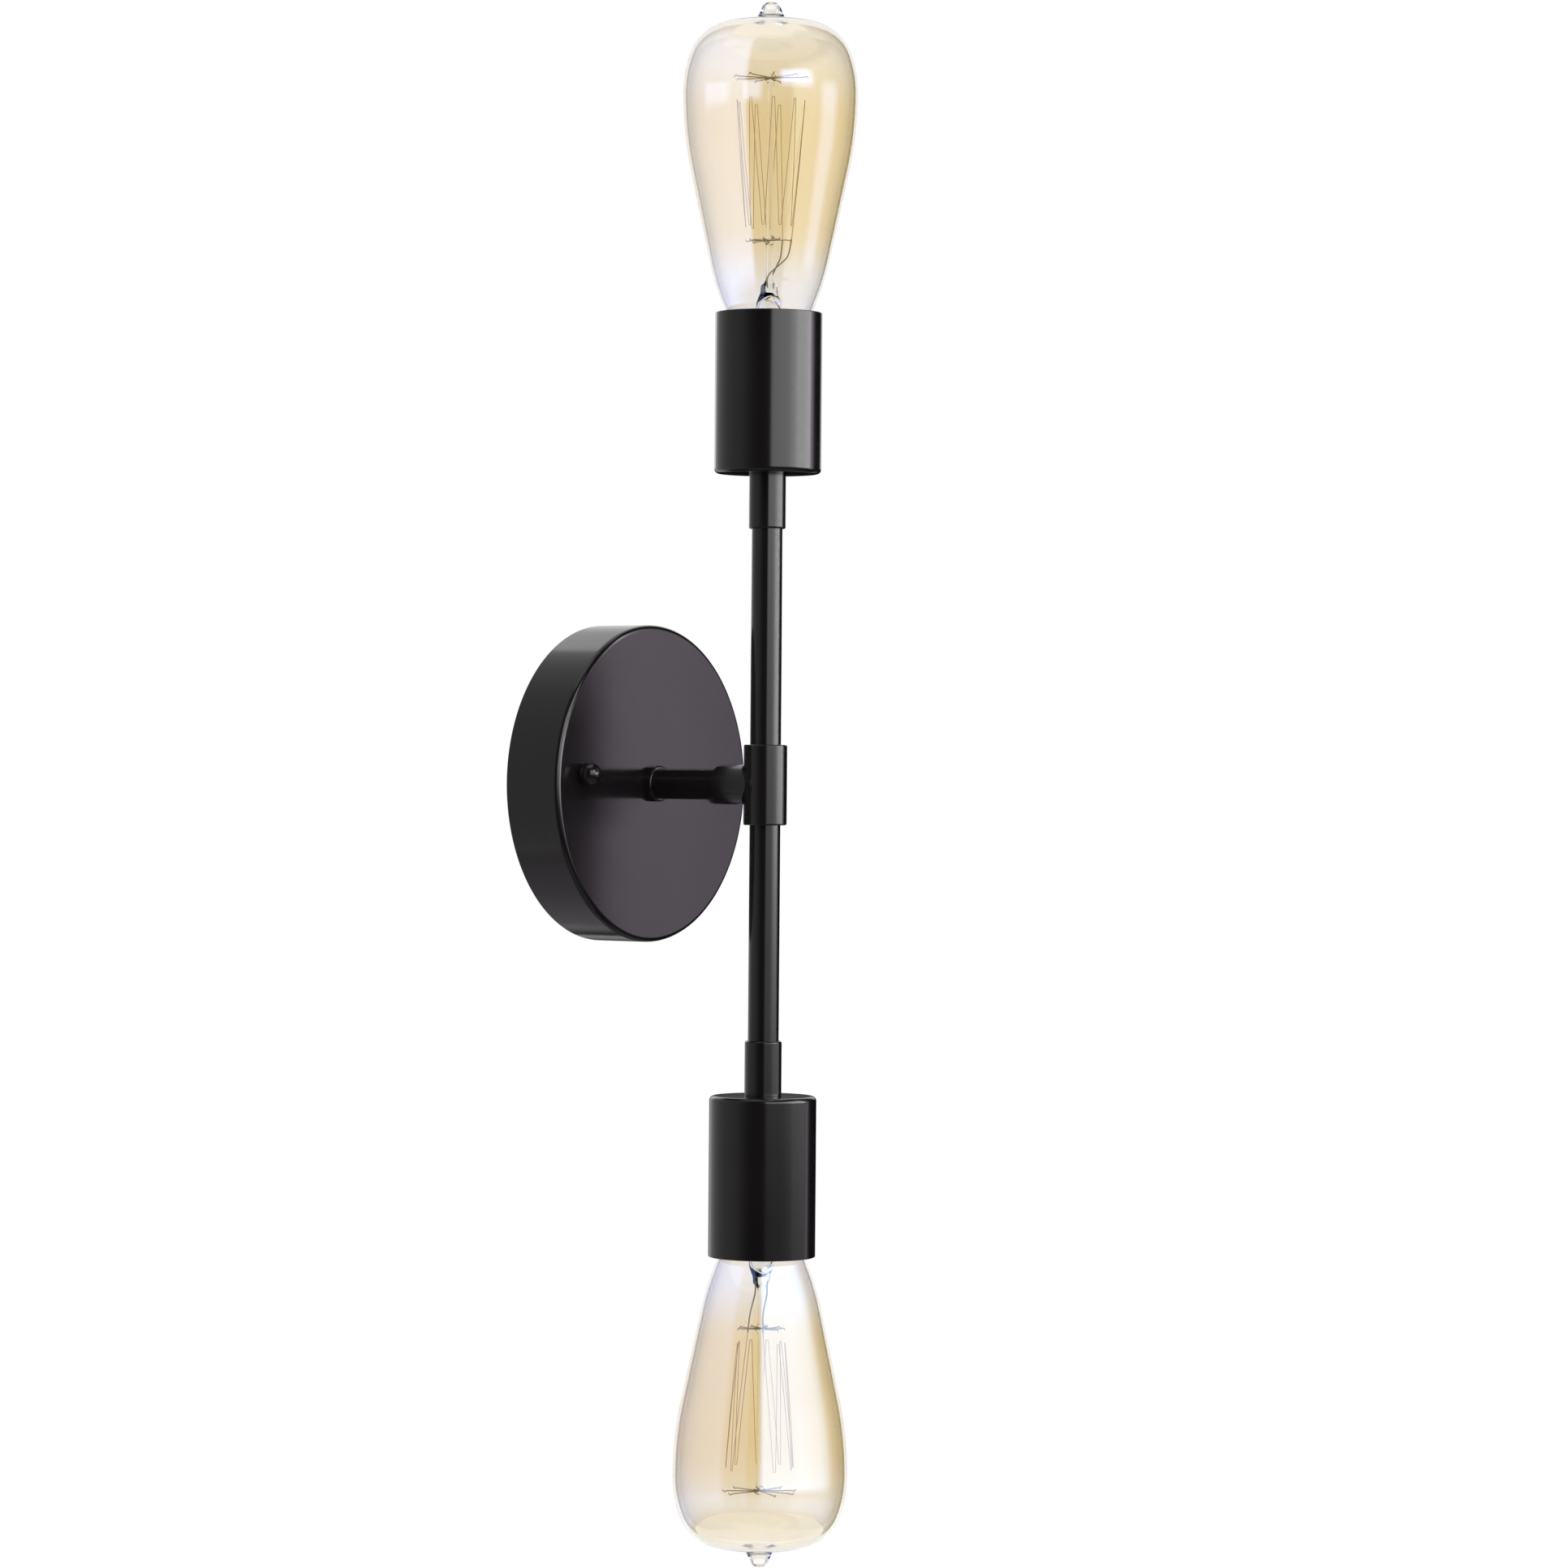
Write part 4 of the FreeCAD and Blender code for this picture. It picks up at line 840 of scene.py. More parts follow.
@dataclass
class WallPlate:
    """Canopy with its cap nuts, and the studs, nuts and splice caps behind it.

    Args:
        shop: where its pieces go.
        wall: thickness of the drawn canopy, in millimetres.
        edge_round: round of its front edge.
        stud_radius: crest radius of a stud's thread.
        stud_pitch: height of one turn of it.
        stud_depth: depth of its groove.
        stud_nut_flats: width of a stud's nut across its flats.
        ball_radius: radius of a cap nut.
        splice_ribs: ribs round a splice cap.
    """

    shop: Workshop
    wall: float = 1.0
    edge_round: float = 2.0
    stud_radius: float = 2.08
    stud_pitch: float = 0.794
    stud_depth: float = 0.4
    stud_nut_flats: float = 8.0
    ball_radius: float = 4.3
    splice_ribs: int = 14

    def build(self) -> None:
        """Makes all its pieces."""
        self.canopy()
        self.studs()
        self.splices()

    def canopy(self) -> None:
        """Shallow drawn cup with a rolled front edge and an open back."""
        radius, _, depth = measures("canopy", 1)
        bore = measures("arm_nipple", 1)[0]
        inner = radius - self.wall
        floor = depth - self.wall
        profile = outline(
            (bore, depth, 0.05), (radius, depth, self.edge_round), (radius, 0, 0.3), (inner, 0, 0.3),
            (inner, floor, self.edge_round - self.wall), (bore, floor, 0.05), steps=10,
        )
        self.shop.show("canopy_shell", turned(WALL_AXIS, profile, columns=256), Slot.BLACK, "canopy")

    def studs(self) -> None:
        """Threaded studs, their hexagon locknuts behind the canopy and their ball nuts in front."""
        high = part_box("canopy_studs")[1]
        across = high.x - self.stud_radius * MM
        rise = high.z - self.stud_radius * MM
        _, start, end = measures("canopy_studs", 1)
        _, nut_start, nut_end = measures("stud_locknuts", 1)
        seat = measures("canopy", 1)[2]
        top = measures("cap_nuts", 1)[2]
        threads = []
        nuts = []
        balls = []
        thread = (self.stud_depth, self.stud_pitch, start, end)
        for hand in (1, -1):
            axis = Axis((-hand * across, 0.0, hand * rise), WALL_AXIS.along, WALL_AXIS.across)
            threads.append(machine_thread(axis, self.stud_radius, *thread))
            nuts.append(hexagon_nut(axis, self.stud_nut_flats, nut_start, nut_end, self.stud_radius))
            balls.append(self.ball_nut(axis, seat, top))
        self.shop.show("canopy_stud_threads", Surface.joined(threads), Slot.PLATED, "canopy_studs")
        self.shop.show("stud_hex_nuts", Surface.joined(nuts), Slot.PLATED, "stud_locknuts")
        self.shop.show("cap_nut_balls", Surface.joined(balls), Slot.BLACK, "cap_nuts")

    def ball_nut(self, axis: Axis, seat: float, top: float) -> Surface:
        """Ball with a flat seat.

        Args:
            axis: the stud's axis.
            seat: height of the canopy's face, in millimetres.
            top: height of the ball's top.

        Returns:
            The surface.
        """
        middle = top - self.ball_radius
        angle = np.linspace(math.asin((seat - middle) / self.ball_radius), math.pi / 2, 28)
        radius = self.ball_radius * np.cos(angle)
        radius[-1] = 0
        height = middle + self.ball_radius * np.sin(angle)
        return turned(axis, [(0, seat), *zip(radius, height)], closed=False)

    def splices(self) -> None:
        """Ribbed caps over the joined ends of the leads."""
        for duty, hand in (("live", -1.0), ("neutral", 1.0)):
            node = duty + "_splice_cap"
            low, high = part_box(node)
            start, end = sorted((abs(low.x) / MM, abs(high.x) / MM))
            axis = Axis((0.0, (low.y + high.y) / 2, 0.0), (hand, 0.0, 0.0), (0.0, 0.0, 1.0))
            cap = self.splice(axis, start, end, (high.z - low.z) / 2 / MM)
            self.shop.show(duty + "_splice", cap, Slot.SPLICE, node)

    def splice(self, axis: Axis, start: float, end: float, mouth: float) -> Surface:
        """Tapered cap: ribs rise and fall as a cosine of the angle, and fade at the skirt and the tip.

        Args:
            axis: the axis along the cap, from its mouth.
            start: height of the mouth, in millimetres.
            end: height of the closed end.
            mouth: radius of the mouth.

        Returns:
            The surface.
        """
        columns = self.splice_ribs * 8
        taper = 0.24
        tip_round = 0.06
        rib_height = 0.045 * mouth
        bore = 0.58 * mouth
        floor = end - 0.15 * (end - start)
        shares = np.concatenate([[0, 0.01, 0.03], np.linspace(0.06, 0.94, 20), [0.965, 0.985, 1.0]])
        ease = np.clip((1 - shares) / tip_round, 0, 1)
        body = mouth * (1 - taper * shares) * (0.8 + 0.2 * np.sqrt(1 - (1 - ease) ** 2))
        fade = np.clip((shares - 0.12) / 0.1, 0, 1) * np.clip((0.97 - shares) / 0.08, 0, 1)
        ribs = rib_height * fade[:, None] * (np.cos(self.splice_ribs * full_turn(columns)) - 1)
        heights = start + shares * (end - start)
        rows = [*zip(body[:, None] + ribs, heights), (0, end), (0, floor), (bore, floor), (bore, start)]
        return turned(axis, rows, columns)


# arm, tee, tubes and cups


@dataclass
class Arm:
    """Ring, tube, and the nipple with its nut behind the canopy.

    Args:
        shop: where its pieces go.
        nipple_bore: radius of the wire hole through the nipple, in millimetres.
        nipple_pitch: height of one turn of its thread.
        nipple_depth: depth of its groove.
        nut_flats: width of its nut across the flats.
    """

    shop: Workshop
    nipple_bore: float = 3.6
    nipple_pitch: float = 0.94
    nipple_depth: float = 0.45
    nut_flats: float = 14.0

    def build(self) -> None:
        """Makes all its pieces."""
        seat = measures("canopy", 1)[2]
        radius, _, ring_end = measures("arm_ring", 1)
        tube, _, tube_end = measures("arm_tube", 1)
        nipple, start, end = measures("arm_nipple", 1)
        _, nut_start, nut_end = measures("arm_locknut", 1)
        ring = outline(
            (nipple, seat, 0.05), (radius, seat, 0.15), (radius, ring_end, 0.7), (nipple, ring_end, 0.1))
        pipe = ring_outline(nipple + 0.08, tube, ring_end, tube_end, 0.25)
        thread = machine_thread(
            WALL_AXIS, nipple, self.nipple_depth, self.nipple_pitch, start, end, self.nipple_bore)
        nut = hexagon_nut(WALL_AXIS, self.nut_flats, nut_start, nut_end, nipple)
        self.shop.show("arm_collar", turned(WALL_AXIS, ring), Slot.BLACK, "arm_ring")
        self.shop.show("arm_pipe", turned(WALL_AXIS, pipe), Slot.BLACK, "arm_tube")
        self.shop.show("arm_nipple_thread", thread, Slot.PLATED, "arm_nipple")
        self.shop.show("arm_hex_nut", nut, Slot.PLATED, "arm_locknut")


@dataclass
class Tee:
    """Thick run on the bar, with a branch that the arm's tube goes into.

    Args:
        shop: where its pieces go.
        bar: the bar's axis, upwards.
        branch_radius: radius of the branch, in millimetres.
        branch_reach: distance from the bar's axis to the branch's end.
        bead: width of the cast fillet between run and branch.
        edge: round of its outer edges.
    """

    shop: Workshop
    bar: Axis
    branch_radius: float = 7.45
    branch_reach: float = 20.5
    bead: float = 0.9
    edge: float = 0.6

    def build(self) -> None:
        """Run and branch as one piece."""
        radius, _, half = measures("tee", 2)
        bore = measures("upper_tube", 2)[0] + FIT
        run = turned(self.bar, ring_outline(bore, radius, -half, half, self.edge), columns=128)
        self.shop.show("tee_body", Surface.joined([run, self.branch(radius)]), Slot.BLACK, "tee")

    def branch(self, radius: float) -> Surface:
        """Branch whose foot follows the run: at angle a its foot is sqrt(R^2 - (r cos a)^2) out from
        the bar's axis, and a quadratic curve eases the corner there.

        Args:
            radius: radius of the run, in millimetres.

        Returns:
            The surface, closed at its foot inside the run.
        """
        angles = full_turn(96)

        def foot(size: float) -> np.ndarray:
            """Height where a pipe of this radius meets the run, for each angle."""
            return np.sqrt(radius ** 2 - np.minimum(np.abs(size * np.cos(angles)), radius - 0.02) ** 2)

        bore = measures("arm_tube", 1)[0] + FIT
        wide = self.branch_radius
        foot_edge = wide + self.bead
        start = foot(foot_edge) - 0.02
        corner = foot(wide)
        rows = [(bore, foot(bore) - self.bead), (foot_edge, start)]
        for share in np.linspace(0, 1, 9)[1:]:
            left = (1 - share) ** 2
            height = left * start + 2 * share * (1 - share) * corner + share ** 2 * (corner + self.bead)
            rows.append((left * foot_edge + (1 - left) * wide, height))
        end = self.branch_reach
        rim = [(wide, end - 3), (wide, end), (bore, end), (bore, end - 3)]
        rows += list(rounded(rim, [0, self.edge, 0.15, 0]))
        return turned(Axis(self.bar.origin, (0.0, 1.0, 0.0), (1.0, 0.0, 0.0)), rows, angles)


@dataclass
class BarEnd:
    """Tube, coupler and cup of one side, with the lampholder's screw shell inside the cup.

    Args:
        shop: where its pieces go.
        side: which end of the bar it is.
        tube_wall: wall of the tube, in millimetres.
        tube_depth: how far the tube goes into the coupler.
        cup_wall: wall of the cup.
        cup_round: round of its closed end.
        shell_radius: inner radius of the screw shell, half way between groove and crest.
        shell_wave: height of its thread to either side of that.
        shell_wall: wall of the screw shell.
    """

    shop: Workshop
    side: Side
    tube_wall: float = 0.67
    tube_depth: float = 8.0
    cup_wall: float = 1.2
    cup_round: float = 1.8
    shell_radius: float = 13.36
    shell_wave: float = 0.13
    shell_wall: float = 0.4

    def build(self) -> None:
        """Makes all its pieces."""
        axis = self.side.axis
        prefix = self.side.name + "_"
        shop = replace(self.shop, prefix=prefix)
        tube, *tube_ends = measures(prefix + "tube", 2)
        nipple = measures(prefix + "cup_nipple", 2)[0] + FIT
        coupler, start, end = measures(prefix + "coupler", 2)
        cup, _, mouth = measures(prefix + "cup", 2)
        pipe = ring_outline(tube - self.tube_wall, tube, *tube_ends, 0.15)
        bore = tube + FIT
        stop = start + self.tube_depth
        sleeve = outline(
            (bore, start, 0.1), (coupler, start, 0.75), (coupler, end, 0.1), (nipple, end, 0.05),
            (nipple, stop, 0.1), (bore, stop, 0.1))
        inner = cup - self.cup_wall
        floor = end + self.cup_wall
        shell = outline(
            (nipple, end, 0.05), (cup, end, self.cup_round), (cup, mouth, 0.35), (inner, mouth, 0.35),
            (inner, floor, 0.8), (nipple, floor, 0.05), steps=9)
        _, *shell_ends = measures(prefix + "screw_shell", 2)
        shop.show("pipe", turned(axis, pipe), Slot.BLACK, "tube")
        shop.show("sleeve", turned(axis, sleeve), Slot.BLACK, "coupler")
        shop.show("cup_shell", turned(axis, shell, columns=192), Slot.BLACK, "cup")
        shop.show("socket_shell", self.socket(*shell_ends), Slot.BRASS, "screw_shell")

    def socket(self, start: float, end: float) -> Surface:
        """Pressed screw shell of the lampholder. Its thread and the bulb cap's have one phase.

        Args:
            start: height of its floor, in millimetres.
            end: height of its mouth.

        Returns:
            The surface.
        """
        columns = 96
        rows_in_pitch = 14
        fade_length = 1.6
        first = start + 1.2
        heights = np.linspace(first, end, int(rows_in_pitch * (end - first) / BULB_PITCH) + 1)
        fade = np.clip(np.minimum(heights - first, end - heights) / fade_length, 0, 1)
        inner = self.shell_radius + self.shell_wave * fade[:, None] * lamp_thread(columns, heights)
        floor = [(11.4, start), (13.2, start), (13.6, start + 0.5)]
        outside = zip(inner + self.shell_wall, heights)
        inside = zip(inner[::-1], heights[::-1])
        rows = [*floor, *outside, *inside, (13.1, start + 0.9), (11.4, start + 0.4)]
        return turned(self.side.axis, rows, columns)


# bulb


@dataclass
class Bulb:
    """Screw cap, pear-shaped envelope, stem and filament cage. Heights are from the tip of the end
    contact, in millimetres.

    Args:
        shop: where its pieces go.
        side: which end of the bar it is on.
        wall: wall of the glass.
        neck_radius: radius of the glass where it goes into the cap, from neck_foot up to neck_top.
        knee: radius and height where the neck would meet the cone, eased by knee_round.
        widest: radius and height of the widest place, where body_round meets shoulder_round.
        crown_round: small arc between the shoulder and the dome.
        dome_round: large arc over the top, which would end at dome_height.
        tip_radius: radius where the dome runs into the sealed tip, which ends at tip_end.
        stem_radius: radius of the stem's tube, flat over the two heights of the pinch.
        rod_radius: radius of the rod, which carries a hub at each of hub_heights.
        ring_radii: distance of the lower and the upper hooks from the rod.
        top_supports: how many upper hooks there are.
        support_radius: radius of the wires that end in hooks.
        filament_radius: radius of the filament.
        cap_wall: wall of the screw cap.
        cap_wave: height of its thread to either side of the middle.
    """

    shop: Workshop
    side: Side
    wall: float = 0.9
    neck_radius: float = 12.4
    neck_foot: float = 20.0
    neck_top: float = 27.3
    knee: Pair = (20.7, 48.2)
    knee_round: float = 90.1
    widest: Pair = (32.6, 118.2)
    body_round: float = 137.0
    shoulder_round: float = 43.0
    crown_round: float = 17.5
    dome_round: float = 79.0
    dome_height: float = 146.2
    tip_radius: float = 5.5
    tip_end: Pair = (2.6, 152.2)
    stem_radius: float = 4.8
    pinch: Pair = (43.7, 47.1)
    pinch_thickness: float = 3.0
    rod_radius: float = 1.2
    hub_heights: Pair = (63.5, 124.0)
    hub_radius: float = 2.3
    ring_radii: Pair = (8.48, 13.5)
    top_supports: int = 8
    support_radius: float = 0.22
    filament_radius: float = 0.12
    cap_wall: float = 0.3
    cap_wave: float = 0.38

    def build(self) -> None:
        """Makes all its pieces."""
        prefix = self.side.name + "_bulb_"
        body = self.side.name + "_bulb"
        base = replace(self.shop, prefix=prefix, body=body + "_base")
        shop = replace(self.shop, prefix=prefix, body=body)
        self.tip_height = measures(prefix + "end_contact", 2)[1]
        self.axis = self.side.axis.moved(self.tip_height * MM)
        contact = outline(
            (0, 0, 0), (3.0, 0.05, 0.6), (4.6, 0.9, 0.5), (4.7, 1.4, 0.1), (0, 1.4, 0), closed=False)
        glass = outline(
            (0, 1.4, 0), (4.75, 1.4, 0.3), (6.4, 2.4, 1.5), (11.3, 5.2, 0.4), (11.6, 5.6, 0.1), (0, 5.6, 0),
            closed=False)
        base.show("contact_disc", turned(self.axis, contact, closed=False), Slot.SOLDER, "end_contact")
        base.show("black_insulator", turned(self.axis, glass, closed=False), Slot.INSULATOR, "insulator")
        shop.show("screw_cap", self.cap(), Slot.BULB_CAP, "cap")
        shop.show("envelope", self.envelope(), Slot.AMBER, "glass")
        shop.show("press_stem", self.stem(), Slot.STEM, "stem")
        shop.show("support_wires", self.supports(), Slot.SUPPORT, "supports")
        shop.show("filament_thread", self.filament(), Slot.FILAMENT, "filament")

    def cap(self) -> Surface:
        """Thin pressed cap with the lamp screw thread, a turned-in foot and a plain collar."""
        columns = 96
        hole = 9.6
        places = [5.6, 6.4, 7.4, 22.4, 23.6, 26.2, 27.0]
        radii = [11.2, 12.2, 12.62, 12.62, 12.7, 12.85, 13.05]
        foot = [5.6, 6.0, 6.5, 7.0]
        collar = [23.2, 24.0, 25.5, 26.6, 27.0]
        heights = np.concatenate([foot, np.linspace(7.4, 22.4, 70), collar])
        depth = self.cap_wave * np.interp(heights, [7.2, 8.6, 20.8, 22.6], [0, 1, 1, 0])
        wave = depth[:, None] * lamp_thread(columns, heights + self.tip_height)
        outer = np.interp(heights, places, radii)[:, None] + wave
        inner = outer - self.cap_wall
        rows = [(hole, 5.65), *zip(outer, heights), *zip(inner[::-1], heights[::-1]), (hole, 5.95)]
        return turned(self.axis, rows, columns)

    def envelope_outline(self) -> tuple[np.ndarray, np.ndarray]:
        """Outer outline: a knee, a cone and four arcs, each tangent to the next, and the sealed tip.

        Returns:
            Radius and height of each point up to the tip, and of the tip's points, in millimetres.
        """
        widest = np.array(self.widest)
        knee = np.array(self.knee)
        body_middle = widest - (self.body_round, 0)
        shoulder_middle = widest - (self.shoulder_round, 0)
        dome_middle = np.array((0, self.dome_height - self.dome_round))
        towards = knee - body_middle
        distance = np.linalg.norm(towards)
        lean = math.atan2(towards[1], towards[0]) + math.acos(self.body_round / distance)
        cone_end = body_middle + self.body_round * np.array((math.cos(lean), math.sin(lean)))
        near = self.shoulder_round - self.crown_round
        far = self.dome_round - self.crown_round
        between = dome_middle - shoulder_middle
        gap = np.linalg.norm(between)
        unit = between / gap
        along = (near ** 2 - far ** 2 + gap ** 2) / (2 * gap)
        aside = math.sqrt(near ** 2 - along ** 2) * np.array((-unit[1], unit[0]))
        choices = [shoulder_middle + unit * along + sign * aside for sign in (1, -1)]
        crown_middle = max(choices, key=lambda point: point[0])
        shoulder_end = math.atan2(*(crown_middle - shoulder_middle)[::-1])
        crown_end = math.atan2(*(crown_middle - dome_middle)[::-1])
        dome_end = math.acos(self.tip_radius / self.dome_round)
        neck = [(self.neck_radius, self.neck_foot), (self.neck_radius, self.neck_top), knee, cone_end]
        lower = rounded(neck, [0, 4.0, self.knee_round, 0], steps=14)

        def arc(middle: np.ndarray, radius: float, start: float, end: float, steps: int) -> np.ndarray:
            """Points of an arc about a middle, without the first."""
            angle = np.linspace(start, end, steps + 1)[1:]
            return middle + radius * np.stack([np.cos(angle), np.sin(angle)], -1)

        straight = np.linspace(lower[-2], lower[-1], 9)[1:-1]
        dome = dome_middle + self.dome_round * np.array((math.cos(dome_end), math.sin(dome_end)))
        tip_radius, tip_end = self.tip_end
        tip = rounded(
            [dome + (1.2, -0.1), dome + (-0.2, 0.25), (self.tip_radius * 0.78, self.dome_height + 2.2),
             (tip_radius * 1.25, tip_end - 1.3), (tip_radius * 0.7, tip_end - 0.15), (0, tip_end)],
            [0, 1.2, 5.0, 2.2, 1.0, 0], steps=8)
        body = [
            lower[:-1], straight, lower[-1:],
            arc(body_middle, self.body_round, lean, 0, 14),
            arc(shoulder_middle, self.shoulder_round, 0, shoulder_end, 14),
            arc(crown_middle, self.crown_round, shoulder_end, crown_end, 16),
            arc(dome_middle, self.dome_round, crown_end, dome_end, 8),
        ]
        return np.concatenate(body), tip[2:]

    def envelope(self) -> Surface:
        """Blown glass: the outer outline, and the same outline moved in by the wall."""
        body, tip = self.envelope_outline()
        part = body[:-1]
        direction = np.gradient(part, axis=0)
        direction /= np.linalg.norm(direction, axis=1, keepdims=True)
        inward = np.stack([-direction[:, 1], direction[:, 0]], -1)
        inner = np.concatenate([part + inward * self.wall, [(0.0, self.dome_height - self.wall)]])
        return turned(self.axis, np.concatenate([body, tip, inner[::-1]]), SIDES_FINE)

    def stem(self) -> Surface:
        """Flare, tube, flat pinch, rod and two hubs: each section is an ellipse raised to a power,
        |x / a|^n + |y / b|^n = 1, round in the tube and nearly square in the pinch.

        Returns:
            The surface, hollow up to the pinch.
        """
        low, high = self.pinch
        flare = self.neck_radius - self.wall - FIT
        wide = self.stem_radius
        thick = self.pinch_thickness / 2
        rod = self.rod_radius
        hub = self.hub_radius
        bore = wide - self.wall
        lower, upper = self.hub_heights

        def round_rows(*rows: Pair) -> list[tuple[float, float, float, float]]:
            """Rows of the table for round sections, from their heights and radii."""
            return [(height, radius, radius, 2) for height, radius in rows]

        table = np.array([
            *round_rows(
                (20.0, flare - 1.0), (20.1, flare - 0.2), (20.6, flare), (21.2, flare - 0.5), (22.2, 8.2),
                (23.4, 6.2), (25.2, 5.1), (28.0, wide), (34.0, wide), (38.5, wide)),
            (40.5, wide, wide * 0.92, 2.1), (42.2, wide * 0.97, wide * 0.66, 2.4),
            (43.4, wide * 0.93, thick * 1.25, 3.2), (low + 0.5, wide * 0.91, thick, 4.0),
            (high - 1.2, wide * 0.87, thick, 4.0), (high - 0.4, wide * 0.83, thick * 0.86, 3.2),
            (high, wide * 0.7, thick * 0.62, 2.6), (high + 0.5, rod * 2.0, rod * 1.3, 2.2),
            (high + 1.6, rod * 1.25, rod * 1.05, 2),
            *round_rows(
                (high + 3.5, rod), (lower - 4, rod), (lower - 1.9, rod), (lower - 1.3, hub * 0.72),
                (lower - 0.7, hub * 0.95), (lower, hub), (lower + 0.7, hub * 0.95),
                (lower + 1.3, hub * 0.72), (lower + 1.9, rod), (lower + 4, rod), (upper - 4, rod),
                (upper - 1.9, rod), (upper - 1.3, hub * 0.72), (upper - 0.7, hub * 0.96), (upper, hub),
                (upper + 0.7, hub * 0.9), (upper + 1.2, hub * 0.6), (upper + 1.45, hub * 0.2),
                (upper + 1.5, 0), (low - 1.6, 0)),
            (low - 1.9, bore * 0.5, bore * 0.1, 2), (low - 2.8, bore * 0.9, bore * 0.3, 2),
            (40.0, bore, bore * 0.8, 2),
            *round_rows((38.0, bore), (28.0, bore), (25.2, 4.3), (23.0, 5.6), (21.4, 7.6), (20.4, 9.6)),
        ])
        height, wide_axis, thin_axis, power = table.T[..., None]
        angles = full_turn(48)
        x, y = (np.sign(wave) * np.abs(wave) ** (2 / power) for wave in (np.cos(angles), np.sin(angles)))
        grid = np.stack([wide_axis * x, thin_axis * y, height + 0 * x], -1)
        return Surface.from_grid(self.axis.place(grid * MM), wrap_rows=True)

    def ring_point(self, radius: float, step: float, height: float) -> np.ndarray:
        """Point of the cage at a radius, a number of ninths of a turn and a height, in millimetres."""
        angle = step * FULL_TURN / (self.top_supports + 1)
        return np.array((radius * math.cos(angle), radius * math.sin(angle), height))

    def wire(self, points: Sequence[np.ndarray], rounds: Sequence[float], radius: float,
             steps: int = 5) -> Surface:
        """Wire through corners in the axis's own frame, in millimetres, with a bend radius at each."""
        path = rounded(points, rounds, steps=steps)
        return swept(self.axis.place(path * MM), radius * MM)

    def supports(self) -> Surface:
        """Hooked wires on both hubs, and the two lead wires."""
        low, high = self.hub_heights
        inner, outer = self.ring_radii
        count = self.top_supports
        wires = [self.hook(inner, step, low, -1) for step in range(1, count)]
        wires += [self.hook(outer, step + 0.5, high, 1) for step in range(count)]
        top = self.pinch[1]
        for step, hand in ((0, 1), (count, -1)):
            foot = np.array((hand * 2.4, hand * 0.75, top - 1.5))
            rise = np.array((hand * 2.7, hand * 0.9, top + 3.0))
            end = self.ring_point(inner, step, low)
            shoulder = end * (0.86, 0.86, 1) - (0, 0, 6.0)
            corners = [foot, rise, shoulder, end + (0, 0, 0.5)]
            wires.append(self.wire(corners, [0, 4, 6, 0], self.support_radius * 1.25))
        return Surface.joined(wires)

    def hook(self, radius: float, step: float, height: float, hand: int) -> Surface:
        """Wire that leaves a hub, runs out and ends in an open hook for the filament.

        Args:
            radius: radius of the hook, in millimetres.
            step: place round the rod.
            height: height of the hub's middle.
            hand: 1 where the hook opens downwards.

        Returns:
            The surface.
        """
        places = ((0.6, 0.0), (radius - 1.2, 0.15), (radius - 0.1, 0.55), (radius + 0.55, -0.25))
        points = [self.ring_point(reach, step, height + hand * rise) for reach, rise in places]
        return self.wire(points, [0, 1.2, 0.45, 0], self.support_radius)

    def filament(self) -> Surface:
        """One fine wire: up to each top hook, down to each lower one, with a slight outward bow."""
        low, high = self.hub_heights
        inner, outer = self.ring_radii
        lift = 0.38
        bow = 0.35
        hook_round = 0.45
        bow_round = 30.0
        stops = [self.ring_point(inner, 0, low + 0.4)]
        for step in range(self.top_supports):
            stops.append(self.ring_point(outer, step + 0.5, high + lift))
            stops.append(self.ring_point(inner, step + 1, low - lift))
        stops[-1] = self.ring_point(inner, self.top_supports, low + 0.4)
        points = [stops[0]]
        for first, last in zip(stops[:-1], stops[1:]):
            for share in (0.25, 0.5, 0.75):
                middle = first + (last - first) * share
                outwards = middle * (1, 1, 0) / np.linalg.norm(middle[:2])
                points.append(middle + bow * math.sin(math.pi * share) * outwards)
            points.append(last)
        rounds = [bow_round if index % 4 else hook_round for index in range(len(points))]
        rounds[0] = rounds[-1] = 0.0
        return self.wire(points, rounds, self.filament_radius, 4)


# studio


@dataclass(frozen=True)
class Card:
    """Curved screen round the object that only reflections show.

    Args:
        name: name of the screen.
        across: stops of angle, in degrees to the right of the camera, and tone.
        up: stops of height, in metres, and share of the tone.
        colour: colour of its light.
        seen_by: groups of pieces that it lights.
        distance: how far from the bar it stands, in metres.
        glow: how much of the tone it gives as light.
        cover: how much of what is behind it the tone hides.
        shortest: shortest ray that meets it, in metres.
        front_only: whether only a glass's front face shows it, and not what lies behind that face.
    """

    name: str
    across: tuple[Pair, ...]
    up: tuple[Pair, ...] = ((-1.3, 1.0), (1.7, 1.0))
    colour: Triple = (1.0, 1.0, 1.0)
    seen_by: tuple[str, ...] = ()
    distance: float = 1.5
    glow: float = 1.0
    cover: float = 0.0
    shortest: float = 0.0
    front_only: bool = False


def flag(name: str, across: tuple, up: tuple) -> Card:
    """Small black screen near the bar, which only the canopy's face is far enough away to mirror."""
    return Card(name, across, up, distance=0.174, glow=0.0, cover=1.0, shortest=0.2)


def window(side: str, name: str, across: tuple, up: tuple, colour: tuple | None = None) -> Card:
    """Screen that shows only in the front face of one bulb's glass, in daylight's colour if None."""
    return Card(side + "_" + name, across, up, colour or DAYLIGHT, (side + "_glass",), front_only=True)


